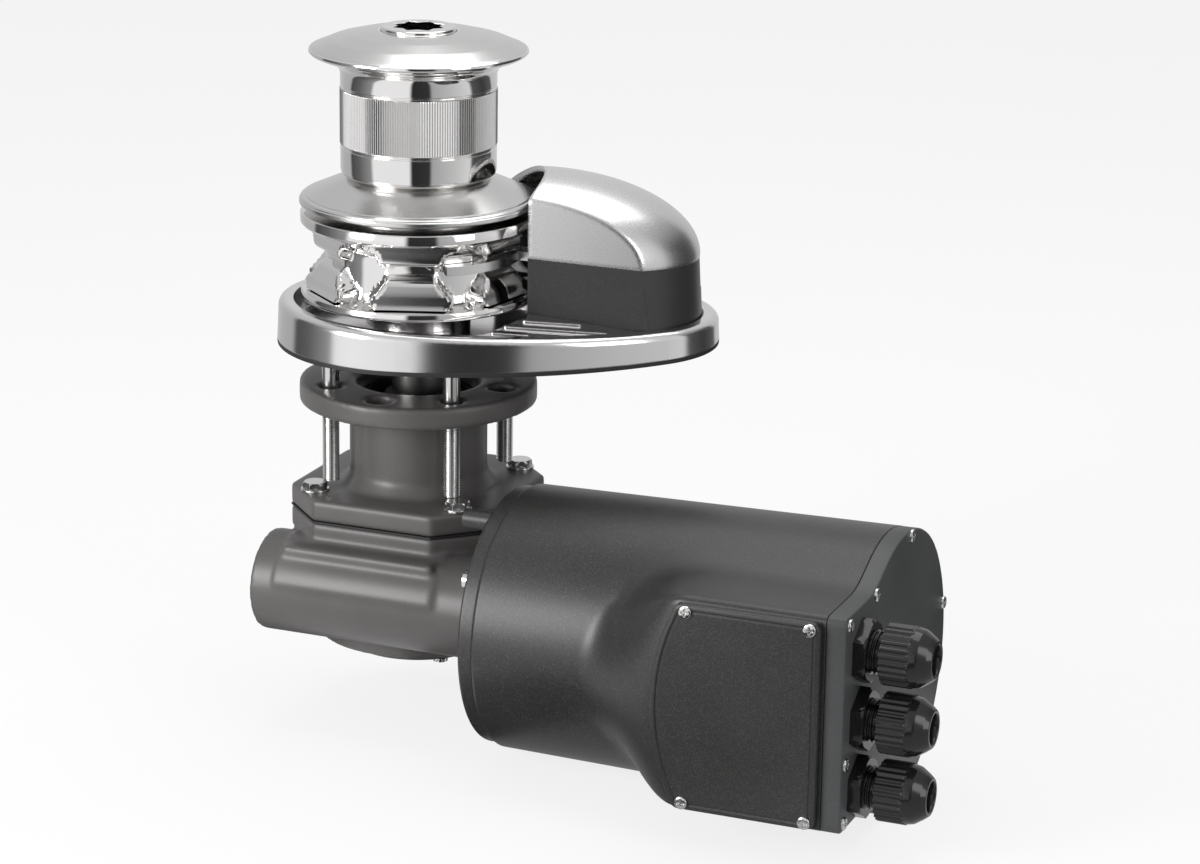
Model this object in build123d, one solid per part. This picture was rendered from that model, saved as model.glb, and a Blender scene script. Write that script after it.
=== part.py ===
"""Vertical deck windlass: drum and chain gypsy above the deck, worm gearbox and enclosed motor below it.

Millimetres, +Z up. The origin is on the main shaft's axis, at the level of the deck.
The motor lies along +X. The deck base's nose is turned by base_turn about Z.
"""
from build123d import *
from math import atan, cos, degrees, hypot, pi, radians, sin, sqrt, tan
import os

# Clearances
running_gap = 0.05
body_gap = 0.3

# Main shaft
shaft_radius = 12.5
shaft_thread_radius = 10.0
shaft_collar_radius = 17.0
shaft_collar_height = 3.0
shaft_thread_length = 11.0
key_width = 6.0
key_depth = 3.0
key_stand = 2.6
key_upper_bottom = 56.0
shaft_end_chamfer = 1.0
circlip_height = 1.2
circlip_depth = 0.8
circlip_rise = 2.5
circlip_mouth = 6.0

# Deck base, in its own frame with the nose along +X
base_turn = 25.0
base_round_radius = 65.0
base_nose_radius = 50.0
base_nose_offset = 89.0
base_side_radius = 190.0
base_draft = 2.5
base_top_at_shaft = 18.3
base_top_slope = 0.036
base_edge_round = 3.5
base_rim_width = 7.5
base_recess_depth = 4.0
base_well_floor = 9.0
base_hub_radius = 24.0
bush_outside = 16.5
base_seal_outside = 19.0
base_seal_height = 5.0
base_screw_radius = 2.5
base_screw_head_radius = 4.5
base_screw_head_height = 3.0
base_screw_socket_radius = 2.0
base_blind_floor = 1.5
gasket_thickness = 2.0
ramp_start = 15.0
ramp_along = 49.0
ramp_across = -30.0
ramp_top = 20.3
ramp_side_slope = 0.284
ramp_nose_slope = 0.069
rib_width = 2.6
rib_height = 1.2
rib_pitch = 6.0
rib_first_across = -38.3
rib_starts = (46.7, 38.0, 32.0)
rib_lengths = (26.5, 46.5, 17.0)
chain_hole_radius = 19.0
chain_hole_along = 92.0
chain_hole_across = 6.0

# Studs that pass through the deck
stud_radius = 4.0
stud_root_radius = 3.4
stud_circle_radius = 43.0
stud_bottom = -63.1
stud_engagement = 6.0

# Chain cover
cover_along = 58.0
cover_foot_length = 77.0
cover_foot_width = 55.0
cover_seam_length = 71.5
cover_seam_width = 49.5
cover_seam_height = 45.0
cover_seam_slope = 0.066
dome_height = 35.0
cover_wall = 2.5
cover_cut_radius = 57.5
cover_back_limit = 36.0
facet_x = 57.3
facet_y = -6.5
facet_angle = 14.0
dome_edge_round = 3.0
latch_width = 13.0
latch_height = 15.0
latch_thickness = 2.0
latch_pin_radius = 0.9
latch_pin_length = 15.0
latch_pin_inset = 1.9
latch_pin_drop = 1.3
latch_side_gap = 0.3
lever_thickness = 6.0
lever_bottom = 41.0
lever_boss_radius = 8.0
lever_tip_radius = 4.0
lever_tip_x = 59.0
lever_tip_y = 21.0
lever_pin_radius = 4.0
lever_pin_shoulder = 6.3
lever_x = 100.0
lever_y = 28.0
lever_spring_wire = 0.9
lever_spring_turns = 5
lever_spring_pitch = 1.98
lever_pin_end = 1.5

# Chain stripper
stripper_bottom = 41.2
stripper_top = 45.4
stripper_inner_radius = 43.2
stripper_outer_radius = 48.0
stripper_start = -50.0
stripper_end = 19.0
stripper_post_x = (60.5, 70.0)
stripper_post_y = (5.0, 15.0)
stripper_foot_end = 86.0
stripper_foot_height = 4.0
stripper_screw_inset = 4.5

# Chain gypsy
gypsy_bottom = 21.5
gypsy_height = 40.1
gypsy_radius = 54.0
gypsy_neck_radius = 42.4
gypsy_lower_rim = 4.2
gypsy_upper_rim = 5.0
gypsy_pockets = 6
seat_wide_radius = 36.5
seat_narrow_radius = 32.5
seat_depth = 17.5
gypsy_web_radius = 18.0
groove_rise = 22.0
groove_half = 2.5
link_gap_width = 8.5
link_gap_upper_width = 11.0
link_gap_depth = 18.0
link_gap_rise = 11.5
link_seat_length = 41.0
link_seat_width = 25.0
link_seat_height = 9.3
link_seat_offset = 3.5
link_seat_drop = 7.3
link_seat_floor = 1.2
gypsy_phase = 20.0

# Clutch cones
cone_end_gap = 0.6
cone_flange_radius = 54.5
cone_flange_bottom = 64.7
cone_rim_height = 2.8
cone_top_radius = 31.0
cone_top = 78.4

# Release spring
spring_wire_radius = 1.0
spring_mean_radius = 14.8
spring_turns = 3
spring_pocket_depth = 9.5
cone_boss_radius = 16.4
cone_boss_height = 2.8

# Drum
drum_barrel_radius = 35.6
drum_band_radius = 35.9
drum_band_bottom = 92.8
drum_band_top = 118.3
drum_groove_depth = 0.5
drum_groove_width = 0.6
drum_flange_radius = 49.9
drum_flange_bottom = 127.0
drum_rim_height = 134.6
drum_rim_thickness = 1.8
drum_top = 144.4
drum_shoulder = 116.0

# Clutch nut with the winch-handle socket
nut_radius = 15.2
nut_ring_radius = 17.0
nut_ring_bottom = 143.2
nut_top = 146.0
socket_square = 17.5
socket_depth = 18.0
washer_thickness = 2.0

# Gearbox
flange_top = -18.3
flange_thickness = 10.2
flange_radius = 55.0
flange_mouth_radius = 28.5
flange_hole_radius = 5.2
axis_hole_radius = 6.5
flange_edge_round = 1.0
flange_head_step = 3.0
axis_hole_offset = 42.0
axis_hole_depth = 8.0
neck_radius = 32.0
neck_foot_round = 4.0
plate_top = -67.5
plate_thickness = 10.0
gearbox_gasket_thickness = 0.8
plate_half = 51.5
plate_chamfer = 22.0
plate_bolt_offset = 36.0
plate_bolt_turn = 15.0
bolt_radius = 3.0
bolt_head_flats = 10.0
bolt_head_height = 4.0
housing_flange_thickness = 10.0
housing_radius = 47.0
housing_bottom = -140.0
housing_wall = 4.5
bottom_cover_radius = 33.0
bottom_cover_height = 6.0
bottom_screw_radius = 2.0
bottom_screw_circle = 29.5
bottom_screw_depth = 8.0
bottom_cover_recess = 3.0
slot_width = 1.0
slot_depth = 1.2

# Bearings: outside radius, bore radius and width
shaft_bearing_outside = 26.0
shaft_bearing_width = 15.0
race_shoulder = 3.0
upper_bearing_top = -32.0
seal_height = 7.0
worm_bearing_outside = 17.5
worm_bearing_bore = 7.5
worm_bearing_width = 11.0

# Worm and wheel
gear_module = 2.0
wheel_teeth = 36
worm_pitch_radius = 9.0
wheel_face = 14.0
wheel_hub_step = 2.5
wheel_hub_radius = 20.0
worm_turns = 8
tooth_backlash = 0.3
pressure_angle = 20.0
wheel_rim_width = 7.0
wheel_web_recess = 3.0
worm_height = -110.0
worm_tube_radius = 23.5
worm_tube_left = -54.0
worm_tube_right = 66.0
worm_bore_radius = 14.5
worm_panel_left = -42.0
worm_panel_right = 37.0
worm_panel_rise = 1.0
motor_boss_radius = 33.5
motor_boss_length = 9.0
worm_plug_inset = 1.5
worm_seal_width = 5.0
motor_screw_radius = 2.5
motor_screw_circle = 28.5
rear_journal_radius = 5.0

# Motor
motor_flange_thickness = 7.0
can_radius = 50.0
can_wall = 4.0
can_length = 134.0
flange_stand = 8.5
magnet_thickness = 6.0
magnet_gap = 44.0
magnet_overhang = 4.0
air_gap = 0.7
core_length = 76.0
core_start = 18.0
core_slots = 12
slot_radius = 4.6
slot_depth_to_middle = 7.0
slot_mouth = 2.5
winding_gap = 0.2
winding_head = 8.0
winding_core_gap = 2.0
shield_thickness = 8.0
tie_rod_radius = 2.5
tie_rod_depth = 5.0
hole_edge = 0.5
lug_radius = 4.5
lug_length = 12.0
lug_y = -22.0
lug_z = 50.0
commutator_radius = 17.0
commutator_length = 18.0
commutator_offset = 12.0
commutator_slit = 0.8
brush_size = 10.0
brush_reach = 17.0
holder_wall = 3.0

# Motor cover with its terminal box
cover_air_gap = 7.0
cover_growth = 3.0
motor_cover_wall = 3.0
cover_end = 243.5
cap_end = 252.0
cap_plate = 4.0
box_reach = 22.0
box_half_height = 48.0
box_left = 165.0
box_corner_left = 178.0
box_rise = 1.5
box_shoulder_reach = 18.0
bulge_start = 128.0
cap_screw_radius = 1.6
cap_boss_radius = 3.5
cap_screw_inset = 2.6
cap_screw_turns = (-6.7, -77.5, -139.5)
cap_corner_across = 9.0
cap_corner_inset = 4.0
cap_screw_depth = 9.0
terminal_left = 180.0
terminal_width = 24.0
terminal_height = 50.0
terminal_pitch = 16.0
terminal_depth = 13.0
terminal_stud_radius = 3.0
terminal_nut_flats = 10.0
lid_margin = 2.0
lid_thickness = 3.0
lid_gasket_thickness = 1.0
lid_right = 242.0
lid_screw_radius = 2.0
lid_screw_head = 2.9
lid_screw_length = 6.3
lid_screw_side_inset = 4.5
lid_screw_end_inset = 5.25
lid_boss_radius = 4.2
gland_across_inset = 26.0
gland_drop = 2.5
gland_ribs = 18
rib_stand = 1.6
rib_across = 2.2
gland_wall = 2.0
gland_pitch = 30.5
gland_flats = 25.0
gland_locknut_flats = 22.0
gland_thread_radius = 9.5
gland_bore_radius = 6.5
gland_base_height = 5.5
gland_neck_height = 5.5
gland_nut_height = 13.0
gland_dome_height = 9.0

# Values worked out from the ones above
wheel_pitch_radius = gear_module * wheel_teeth / 2
motor_y = -(wheel_pitch_radius + worm_pitch_radius)
motor_z = worm_height
wheel_lean = -degrees(atan(gear_module / (2 * worm_pitch_radius)))
lead = pi * gear_module
gypsy_top = gypsy_bottom + gypsy_height
hub_top = gypsy_bottom - shaft_collar_height - body_gap
flange_bottom = flange_top - flange_thickness
plate_bottom = plate_top - plate_thickness
lower_bearing_top = motor_z - wheel_face / 2 - wheel_hub_step
shaft_bottom = housing_bottom - 1.0
shaft_top = drum_shoulder + shaft_thread_length
stud_offset = stud_circle_radius / sqrt(2)
blind_bottom = gasket_thickness + base_blind_floor
groove_middle = gypsy_bottom + groove_rise
motor_start = worm_tube_right + motor_flange_thickness
core_left = motor_start + core_start
core_right = core_left + core_length
core_radius = can_radius - can_wall - magnet_thickness - air_gap
commutator_right = core_right + commutator_offset + commutator_length
left_bearing_left = worm_tube_left + 9.5
left_bearing_right = left_bearing_left + worm_bearing_width
right_bearing_left = worm_tube_right - worm_seal_width - worm_bearing_width
housing_top = plate_bottom - gearbox_gasket_thickness
can_right = motor_start + can_length
tie_rod_circle = can_radius - can_wall - tie_rod_radius - body_gap
motor_flange_radius = can_radius + flange_stand
cover_left_radius = can_radius + cover_air_gap + motor_cover_wall
cover_right_radius = cover_left_radius + cover_growth
box_front = motor_y - cover_right_radius - box_reach
box_middle = motor_z + box_rise
box_shoulder = motor_y - cover_right_radius + box_shoulder_reach
gland_across = box_front + gland_across_inset


def save(name, *solids):
    """Writes one named piece, or a group of like pieces, to its own file."""
    flat = []
    for solid in solids:
        flat.extend(solid.solids())
    shape = flat[0] if len(flat) == 1 else Compound(children=flat)
    export_step(shape, f"parts/{name}.step")


def disc(radius, z_low, z_high, x=0.0, y=0.0):
    """An upright cylinder between two heights."""
    return Pos(x, y, (z_low + z_high) / 2) * Cylinder(radius, z_high - z_low)


def ring(outside, inside, z_low, z_high, x=0.0, y=0.0):
    """An upright tube between two heights."""
    return disc(outside, z_low, z_high, x, y) - disc(inside, z_low - 1, z_high + 1, x, y)


def disc_x(radius, x_left, x_right, y=None, z=None):
    """A cylinder along X, on the motor's axis unless told otherwise."""
    y = motor_y if y is None else y
    z = motor_z if z is None else z
    return Pos((x_left + x_right) / 2, y, z) * Rot(0, 90, 0) * Cylinder(radius, x_right - x_left)


def ring_x(outside, inside, x_left, x_right, y=None, z=None):
    """A tube along X."""
    return disc_x(outside, x_left, x_right, y, z) - disc_x(inside, x_left - 1, x_right + 1, y, z)


def block(x, y, z):
    """A box from three pairs of limits."""
    centre = Pos((x[0] + x[1]) / 2, (y[0] + y[1]) / 2, (z[0] + z[1]) / 2)
    return centre * Box(x[1] - x[0], y[1] - y[0], z[1] - z[0])


def turned(profile):
    """A solid of revolution about Z from radius and height pairs."""
    points = [(radius, 0, height) for radius, height in profile]
    return revolve(make_face(Polyline(*points, close=True)), Axis.Z)


def around(solid, count, start=0.0):
    """Copies of a solid, evenly spaced about Z."""
    return [Rot(0, 0, start + 360 * i / count) * solid for i in range(count)]


def hexagon(flats, z_low, z_high):
    """An upright hexagonal prism, given across its flats."""
    face = RegularPolygon(flats / 2, 6, major_radius=False)
    return Pos(0, 0, z_low) * extrude(face, z_high - z_low)


def on_motor_axis(solid):
    """Lays a solid that was built along Z along the motor's axis, with its X side facing the wheel."""
    return Plane((0, motor_y, motor_z), x_dir=(0, 1, 0), z_dir=(1, 0, 0)).location * solid


def ball_bearing(outside, bore, z_low, z_high):
    """An outer race, an inner race and the balls between them."""
    middle = (z_low + z_high) / 2
    pitch_radius = (outside + bore) / 2
    ball_radius = (outside - bore) * 0.28
    groove = Pos(0, 0, middle) * Torus(pitch_radius, ball_radius + running_gap)
    race_gap = ball_radius * 0.55
    outer = ring(outside, pitch_radius + race_gap, z_low, z_high) - groove
    inner = ring(pitch_radius - race_gap, bore, z_low, z_high) - groove
    ball_count = int(2 * pi * pitch_radius / (ball_radius * 2.5))
    balls = around(Pos(pitch_radius, 0, middle) * Sphere(ball_radius), ball_count)
    return outer, inner, balls


# Deck base

def side_centre(inset):
    """Centre of the long arc that joins the round end to the nose, on the far side of the axis."""
    side = base_side_radius - inset
    from_round = side - (base_round_radius - inset)
    from_nose = side - (base_nose_radius - inset)
    x = (from_round ** 2 - from_nose ** 2 + base_nose_offset ** 2) / (2 * base_nose_offset)
    return x, sqrt(from_round ** 2 - x ** 2)


def base_outline(inset):
    """The egg-shaped outline of the base, drawn in by inset."""
    round_end = base_round_radius - inset
    nose = base_nose_radius - inset
    side = base_side_radius - inset
    x, y = side_centre(inset)
    to_round = hypot(x, y)
    to_nose = hypot(base_nose_offset - x, y)
    round_point = (-x / to_round * round_end, -y / to_round * round_end)
    nose_point = (base_nose_offset + (base_nose_offset - x) / to_nose * nose, -y / to_nose * nose)
    crown = (x, y - side)
    upper_round = (round_point[0], -round_point[1])
    upper_nose = (nose_point[0], -nose_point[1])
    edges = [
        ThreePointArc(upper_round, (-round_end, 0), round_point),
        ThreePointArc(round_point, crown, nose_point),
        ThreePointArc(nose_point, (base_nose_offset + nose, 0), upper_nose),
        ThreePointArc(upper_nose, (crown[0], -crown[1]), upper_round),
    ]
    return make_face(Wire(edges))


def above_slope(height_at_shaft, slope):
    """Everything above a plane that falls towards the nose."""
    return Pos(0, 0, height_at_shaft) * Rot(0, degrees(atan(slope)), 0) * Pos(0, 0, 200) * Box(700, 700, 400)


def to_deck(solid):
    """Turns a piece from the base's own frame to its place on the deck."""
    return Rot(0, 0, base_turn) * solid


def stud_places():
    return [(i * stud_offset, j * stud_offset) for i in (-1, 1) for j in (-1, 1)]


def chain_hole():
    """The hole that the chain falls through. Base frame."""
    return disc(chain_hole_radius, -1, base_top_at_shaft + 5, chain_hole_along, chain_hole_across)


def base_gasket():
    gasket = to_deck(extrude(base_outline(0.0), gasket_thickness))
    gasket -= disc(base_hub_radius, -1, gasket_thickness + 1)
    for x, y in stud_places():
        gasket -= disc(stud_radius + body_gap, -1, gasket_thickness + 1, x, y)
    return gasket - to_deck(chain_hole())


def under_ramp(rise):
    """Everything below the ramp's plane, raised by rise. Base frame."""
    normal = (ramp_nose_slope, -ramp_side_slope, 1)
    plane = Plane((ramp_along, ramp_across, ramp_top + rise), x_dir=(1, 0, -ramp_nose_slope), z_dir=normal)
    return plane.location * Pos(0, 0, -200) * Box(900, 900, 400)


def base_ramp():
    """The ramp in front of the chain cover, with its rubbing ribs. Base frame."""
    recess = extrude(base_outline(base_rim_width - 1), 3 * base_top_at_shaft)
    front = Rot(0, 0, -base_turn) * facet_side(cover_wall + 0.5)
    ramp = recess & front & under_ramp(0)
    for row, (length, start) in enumerate(zip(rib_lengths, rib_starts)):
        place = Pos(start + length / 2, rib_first_across - row * rib_pitch, 0)
        ramp += place * extrude(SlotOverall(length, rib_width), 3 * base_top_at_shaft) & under_ramp(rib_height)
    ramp &= Pos(ramp_start + 300, 0, base_well_floor + 50) * Box(600, 600, 100)
    return ramp - disc(base_round_radius - base_rim_width, 0, 3 * base_top_at_shaft)


def deck_base():
    height = base_top_at_shaft + 10
    body = Pos(0, 0, gasket_thickness) * extrude(base_outline(0.0), height, taper=base_draft)
    body -= above_slope(base_top_at_shaft, base_top_slope)
    rim = body.edges().filter_by(lambda edge: edge.center().Z > gasket_thickness + 5)
    body = fillet(rim, base_edge_round)
    recess = extrude(base_outline(base_rim_width), height)
    body -= recess & above_slope(base_top_at_shaft - base_recess_depth, base_top_slope)
    body -= disc(base_round_radius - base_rim_width, base_well_floor, base_top_at_shaft + 5)
    body += base_ramp()
    body -= chain_hole()
    body = to_deck(body)
    body += disc(base_hub_radius, base_well_floor - 1, hub_top)
    body -= disc(bush_outside, 0, base_top_at_shaft + 5)
    body -= disc(base_seal_outside, hub_top - base_seal_height, hub_top + 1)
    for x, y in stud_places():
        body -= disc(stud_root_radius, 0, gasket_thickness + stud_engagement, x, y)
    for x, y in stripper_screw_places():
        body -= disc(base_screw_radius, blind_bottom, base_top_at_shaft, x, y)
    body -= disc(lever_pin_radius, blind_bottom, base_top_at_shaft, lever_x, lever_y)
    return body


def floor_height(x, y):
    """Height of the recessed floor of the base at a place on the deck."""
    along = x * cos(radians(base_turn)) + y * sin(radians(base_turn))
    return base_top_at_shaft - base_recess_depth - base_top_slope * along


def base_bush():
    top = hub_top - base_seal_height
    return ring(bush_outside, shaft_radius + running_gap, gasket_thickness, top)


def base_seal():
    return ring(base_seal_outside, shaft_radius + running_gap, hub_top - base_seal_height, hub_top)


def deck_studs():
    top = gasket_thickness + stud_engagement
    studs = []
    for x, y in stud_places():
        studs.append(disc(stud_radius, stud_bottom, 0, x, y) + disc(stud_root_radius, 0, top, x, y))
    return studs


# Chain cover

def seam_frame():
    """Place of the cover's middle, tilted with the seam between its two halves. Base frame."""
    return Pos(cover_along, 0, cover_seam_height) * Rot(0, degrees(atan(cover_seam_slope)), 0)


def facet_side(inset):
    """Everything in front of the cover's flat face, moved back by inset. Deck frame."""
    return Pos(facet_x, facet_y, 0) * Rot(0, 0, facet_angle) * Pos(0, inset - 150, 60) * Box(500, 300, 300)


def cover_cuts(inset, cut_radius):
    """What is taken off the cover: the room for the gypsy, the flat face and everything behind."""
    facet = facet_side(inset)
    behind = to_deck(Pos(cover_back_limit - 200, 0, 60) * Box(400, 400, 300))
    return [disc(cut_radius, -20, 150), facet, behind]


def lower_volume(inset):
    """The cover below its seam, drawn in by inset."""
    foot_z = -cover_seam_height
    foot = Pos(0, 0, foot_z) * Ellipse(cover_foot_length - inset, cover_foot_width - inset)
    seam = Ellipse(cover_seam_length - inset, cover_seam_width - inset)
    return to_deck(seam_frame() * loft([foot, seam]))


def dome_volume(inset):
    """The cover above its seam, drawn in by inset."""
    size = (cover_seam_length - inset, cover_seam_width - inset, dome_height - inset)
    upper = Pos(0, 0, 50) * Box(400, 400, 100)
    dome = scale(Sphere(1), by=size) & upper
    return to_deck(seam_frame() * dome)


def latch_frame():
    """Place of the latch: on the cover's nose, just below the seam. Deck frame."""
    return to_deck(seam_frame() * Pos(cover_seam_length, 0, 0))


def latch_recess():
    room = Box(2 * latch_thickness + 2, latch_width, latch_height)
    return latch_frame() * Pos(0, 0, -latch_height / 2) * room


def cover_body():
    body = lower_volume(0)
    for cut in cover_cuts(0, cover_cut_radius):
        body -= cut
    room = lower_volume(cover_wall)
    for cut in cover_cuts(cover_wall, cover_cut_radius - 5):
        room -= cut
    body -= room
    body -= latch_recess()
    body -= latch_pin(running_gap)
    return body - deck_base() - to_deck(Box(600, 600, 2 * base_well_floor))


def cover_shell():
    shell = dome_volume(0)
    for cut in cover_cuts(0, cover_cut_radius):
        shell -= cut
    edges = shell.edges().filter_by(facet_top)
    shell = fillet(edges, dome_edge_round)
    room = dome_volume(cover_wall)
    for cut in cover_cuts(cover_wall, cover_cut_radius - 5):
        room -= cut
    return shell - room


def facet_top(edge):
    """True for the edge where the cover's flat face meets its dome."""
    middle = edge.position_at(0.5)
    turn = radians(facet_angle)
    away = (middle.Y - facet_y) * cos(turn) - (middle.X - facet_x) * sin(turn)
    return abs(away) < 0.1 and middle.Z > cover_seam_height + 5 and edge.length > 40


def latch_pin(gap):
    """The pin along the latch's upper edge, that it turns about when it is pressed."""
    place = latch_frame() * Pos(-latch_pin_inset, 0, -latch_pin_drop) * Rot(90, 0, 0)
    return place * Cylinder(latch_pin_radius + gap, latch_pin_length + 2 * gap)


def cover_latch():
    width = latch_width - 2 * latch_side_gap
    height = latch_height - 2 * latch_side_gap
    tongue = Pos(0, 0, -latch_height / 2) * Box(2 * latch_thickness, width, height)
    return (latch_frame() * tongue & lower_volume(latch_thickness * 0.3)) + latch_pin(0)


def lever_pin():
    top = lever_bottom + lever_thickness + lever_pin_end
    pin = disc(lever_pin_radius, blind_bottom, top, lever_x, lever_y)
    shoulder = disc(lever_pin_shoulder, 0, lever_bottom - running_gap, lever_x, lever_y)
    slope = above_slope(base_top_at_shaft - base_recess_depth, base_top_slope)
    return pin + (shoulder & to_deck(slope))


def lever_spring():
    height = lever_spring_pitch * lever_spring_turns
    radius = lever_pin_shoulder + lever_spring_wire + body_gap
    path = Helix(height / lever_spring_turns, height, radius)
    wire = sweep(Plane(path @ 0, z_dir=path % 0) * Circle(lever_spring_wire), path=path, is_frenet=True)
    return Pos(lever_x, lever_y, lever_bottom - height - lever_spring_wire - body_gap) * wire


def pressure_lever():
    boss = Pos(lever_x, lever_y) * Circle(lever_boss_radius)
    tip = Pos(lever_tip_x, lever_tip_y) * Circle(lever_tip_radius)
    plan = make_hull([*boss.edges(), *tip.edges()])
    plan -= Pos(lever_x, lever_y) * Circle(lever_pin_radius + running_gap)
    return Pos(0, 0, lever_bottom) * extrude(plan, lever_thickness)


def stripper_screw_places():
    y = sum(stripper_post_y) / 2
    return [(stripper_post_x[1] + stripper_screw_inset, y), (stripper_foot_end - stripper_screw_inset, y)]


def chain_stripper():
    height = (stripper_bottom, stripper_top)
    finger = ring(stripper_outer_radius, stripper_inner_radius, *height)
    rays = [(200 * cos(radians(turn)), 200 * sin(radians(turn))) for turn in (stripper_start, 0, stripper_end)]
    sector = Polyline((0, 0), *rays, close=True)
    finger &= Pos(0, 0, stripper_bottom) * extrude(make_face(sector), 10)
    arm = block((stripper_inner_radius, stripper_post_x[1]), stripper_post_y, height)
    arm -= disc(stripper_inner_radius, *height)
    post = block(stripper_post_x, stripper_post_y, (0, stripper_top))
    foot = block((stripper_post_x[0], stripper_foot_end), stripper_post_y, (0, 30))
    floor = base_top_at_shaft - base_recess_depth
    foot -= to_deck(above_slope(floor + stripper_foot_height, base_top_slope))
    body = finger + arm + ((post + foot) & to_deck(above_slope(floor, base_top_slope)))
    for x, y in stripper_screw_places():
        body -= disc(base_screw_radius, 0, 40, x, y)
    return body


def base_screws():
    screws = []
    for x, y in stripper_screw_places():
        seat = floor_height(x, y) + stripper_foot_height + body_gap
        screw = disc(base_screw_radius, blind_bottom, seat, x, y)
        screw += disc(base_screw_head_radius, seat, seat + base_screw_head_height, x, y)
        socket = extrude(RegularPolygon(base_screw_socket_radius, 6), base_screw_head_height)
        screw -= Pos(x, y, seat + base_screw_head_height / 2) * socket
        screws.append(screw)
    return screws


# Gypsy, clutch cones and main shaft

def gypsy_gap(turn):
    """The narrow room between two lugs, for the links that stand on edge."""
    inner = gypsy_neck_radius - groove_half
    outer = inner + link_gap_depth
    half, upper_half = link_gap_width / 2, link_gap_upper_width / 2
    low = block((inner, outer), (-half, half), (gypsy_bottom + gypsy_lower_rim, groove_middle - groove_half))
    upper = (groove_middle + groove_half, groove_middle + link_gap_rise)
    high = block((inner, outer), (-upper_half, upper_half), upper)
    return [Rot(0, 0, turn) * low, Rot(0, 0, turn) * high]


def gypsy_pocket(turn):
    """The seat of a link that lies flat, across the top of a lug."""
    link = extrude(Rot(0, 0, 90) * SlotOverall(link_seat_length, link_seat_width), link_seat_height)
    seat = Pos(gypsy_neck_radius + link_seat_offset, 0, groove_middle - link_seat_drop) * link
    return Rot(0, 0, turn) * seat - disc(gypsy_neck_radius - link_seat_floor, gypsy_bottom, gypsy_top)


def gypsy():
    low = gypsy_bottom
    top = gypsy_top
    rim_low = low + gypsy_lower_rim
    rim_high = top - gypsy_upper_rim
    profile = [
        (gypsy_web_radius, low + seat_depth), (seat_narrow_radius, low + seat_depth),
        (seat_wide_radius, low), (gypsy_radius - 1, low), (gypsy_radius, low + 1),
        (gypsy_radius, rim_low - 1), (gypsy_radius - 1, rim_low), (gypsy_radius - 2.5, rim_low),
        (gypsy_radius - 3.2, rim_low + 5), (gypsy_radius - 6.5, groove_middle - 6),
        (gypsy_neck_radius, groove_middle - groove_half), (gypsy_neck_radius, groove_middle + groove_half),
        (gypsy_neck_radius + 2.6, groove_middle + 6.3), (gypsy_radius - 5.5, groove_middle + 8.5),
        (gypsy_radius - 2.3, groove_middle + 11), (gypsy_radius, rim_high),
        (gypsy_radius, top - 0.6), (gypsy_radius - 0.6, top), (seat_wide_radius, top),
        (seat_narrow_radius, top - seat_depth), (gypsy_web_radius, top - seat_depth),
    ]
    body = turned(profile)
    cuts = []
    for i in range(gypsy_pockets):
        turn = 360 / gypsy_pockets * i + gypsy_phase
        cuts.extend(gypsy_gap(turn))
        cuts.append(gypsy_pocket(turn + 180 / gypsy_pockets))
    return body - cuts


def lower_clutch_cone():
    low = gypsy_bottom
    top = low + seat_depth - cone_end_gap
    slope = (seat_wide_radius - seat_narrow_radius) / seat_depth
    wide = seat_wide_radius - body_gap
    cone = turned([
        (shaft_radius + running_gap, low), (wide, low), (wide - slope * (top - low), top),
        (cone_boss_radius, top), (cone_boss_radius, top + cone_boss_height),
        (shaft_radius + running_gap, top + cone_boss_height),
    ])
    return cone - key_block(low - 1, top + cone_boss_height + 1, key_stand + running_gap)


def upper_clutch_cone():
    slope = (seat_wide_radius - seat_narrow_radius) / seat_depth
    top = gypsy_top
    low = top - seat_depth + cone_end_gap
    wide = seat_wide_radius - body_gap
    narrow = wide - slope * (top - low)
    rim_low = cone_flange_bottom
    rim_top = rim_low + cone_rim_height
    cone = turned([
        (shaft_radius + running_gap, low), (narrow, low), (wide, top), (wide, rim_low),
        (cone_flange_radius - 1, rim_low), (cone_flange_radius, rim_low + 1),
        (cone_flange_radius, rim_top - 1), (cone_flange_radius - 1, rim_top),
        (cone_top_radius, cone_top), (shaft_radius + running_gap, cone_top),
    ])
    cone -= disc(spring_mean_radius + spring_wire_radius + body_gap, low - 1, low + spring_pocket_depth)
    return cone - key_block(low - 1, cone_top + 1, key_stand + running_gap)


def key_block(low, high, stand):
    """A key along the shaft, standing out of it by stand."""
    x = (shaft_radius - key_depth, shaft_radius + stand)
    return block(x, (-key_width / 2, key_width / 2), (low, high))


def shaft_keys():
    cone_top_end = gypsy_bottom + seat_depth - cone_end_gap
    return [
        key_block(gypsy_bottom + 2, cone_top_end, key_stand),
        key_block(key_upper_bottom, drum_shoulder - 2, key_stand),
        key_block(motor_z - wheel_face / 2, motor_z + wheel_face / 2, key_stand),
    ]


def main_shaft():
    shaft = disc(shaft_radius, shaft_bottom, drum_shoulder - 1)
    shaft += disc(shaft_thread_radius, drum_shoulder - 2, shaft_top)
    shaft += disc(shaft_collar_radius, gypsy_bottom - shaft_collar_height, gypsy_bottom)
    for key in shaft_keys():
        shaft -= key
    for top in circlip_tops():
        shaft -= circlip_groove(top)
    return chamfer(shaft.faces().sort_by(Axis.Z)[-1].edges(), shaft_end_chamfer)


def circlip_tops():
    return [motor_z + wheel_face / 2 + wheel_hub_step + circlip_height, lower_bearing_top - shaft_bearing_width]


def circlip_groove(top):
    return ring(shaft_radius + 1, shaft_radius - circlip_depth, top - circlip_height, top)


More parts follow.
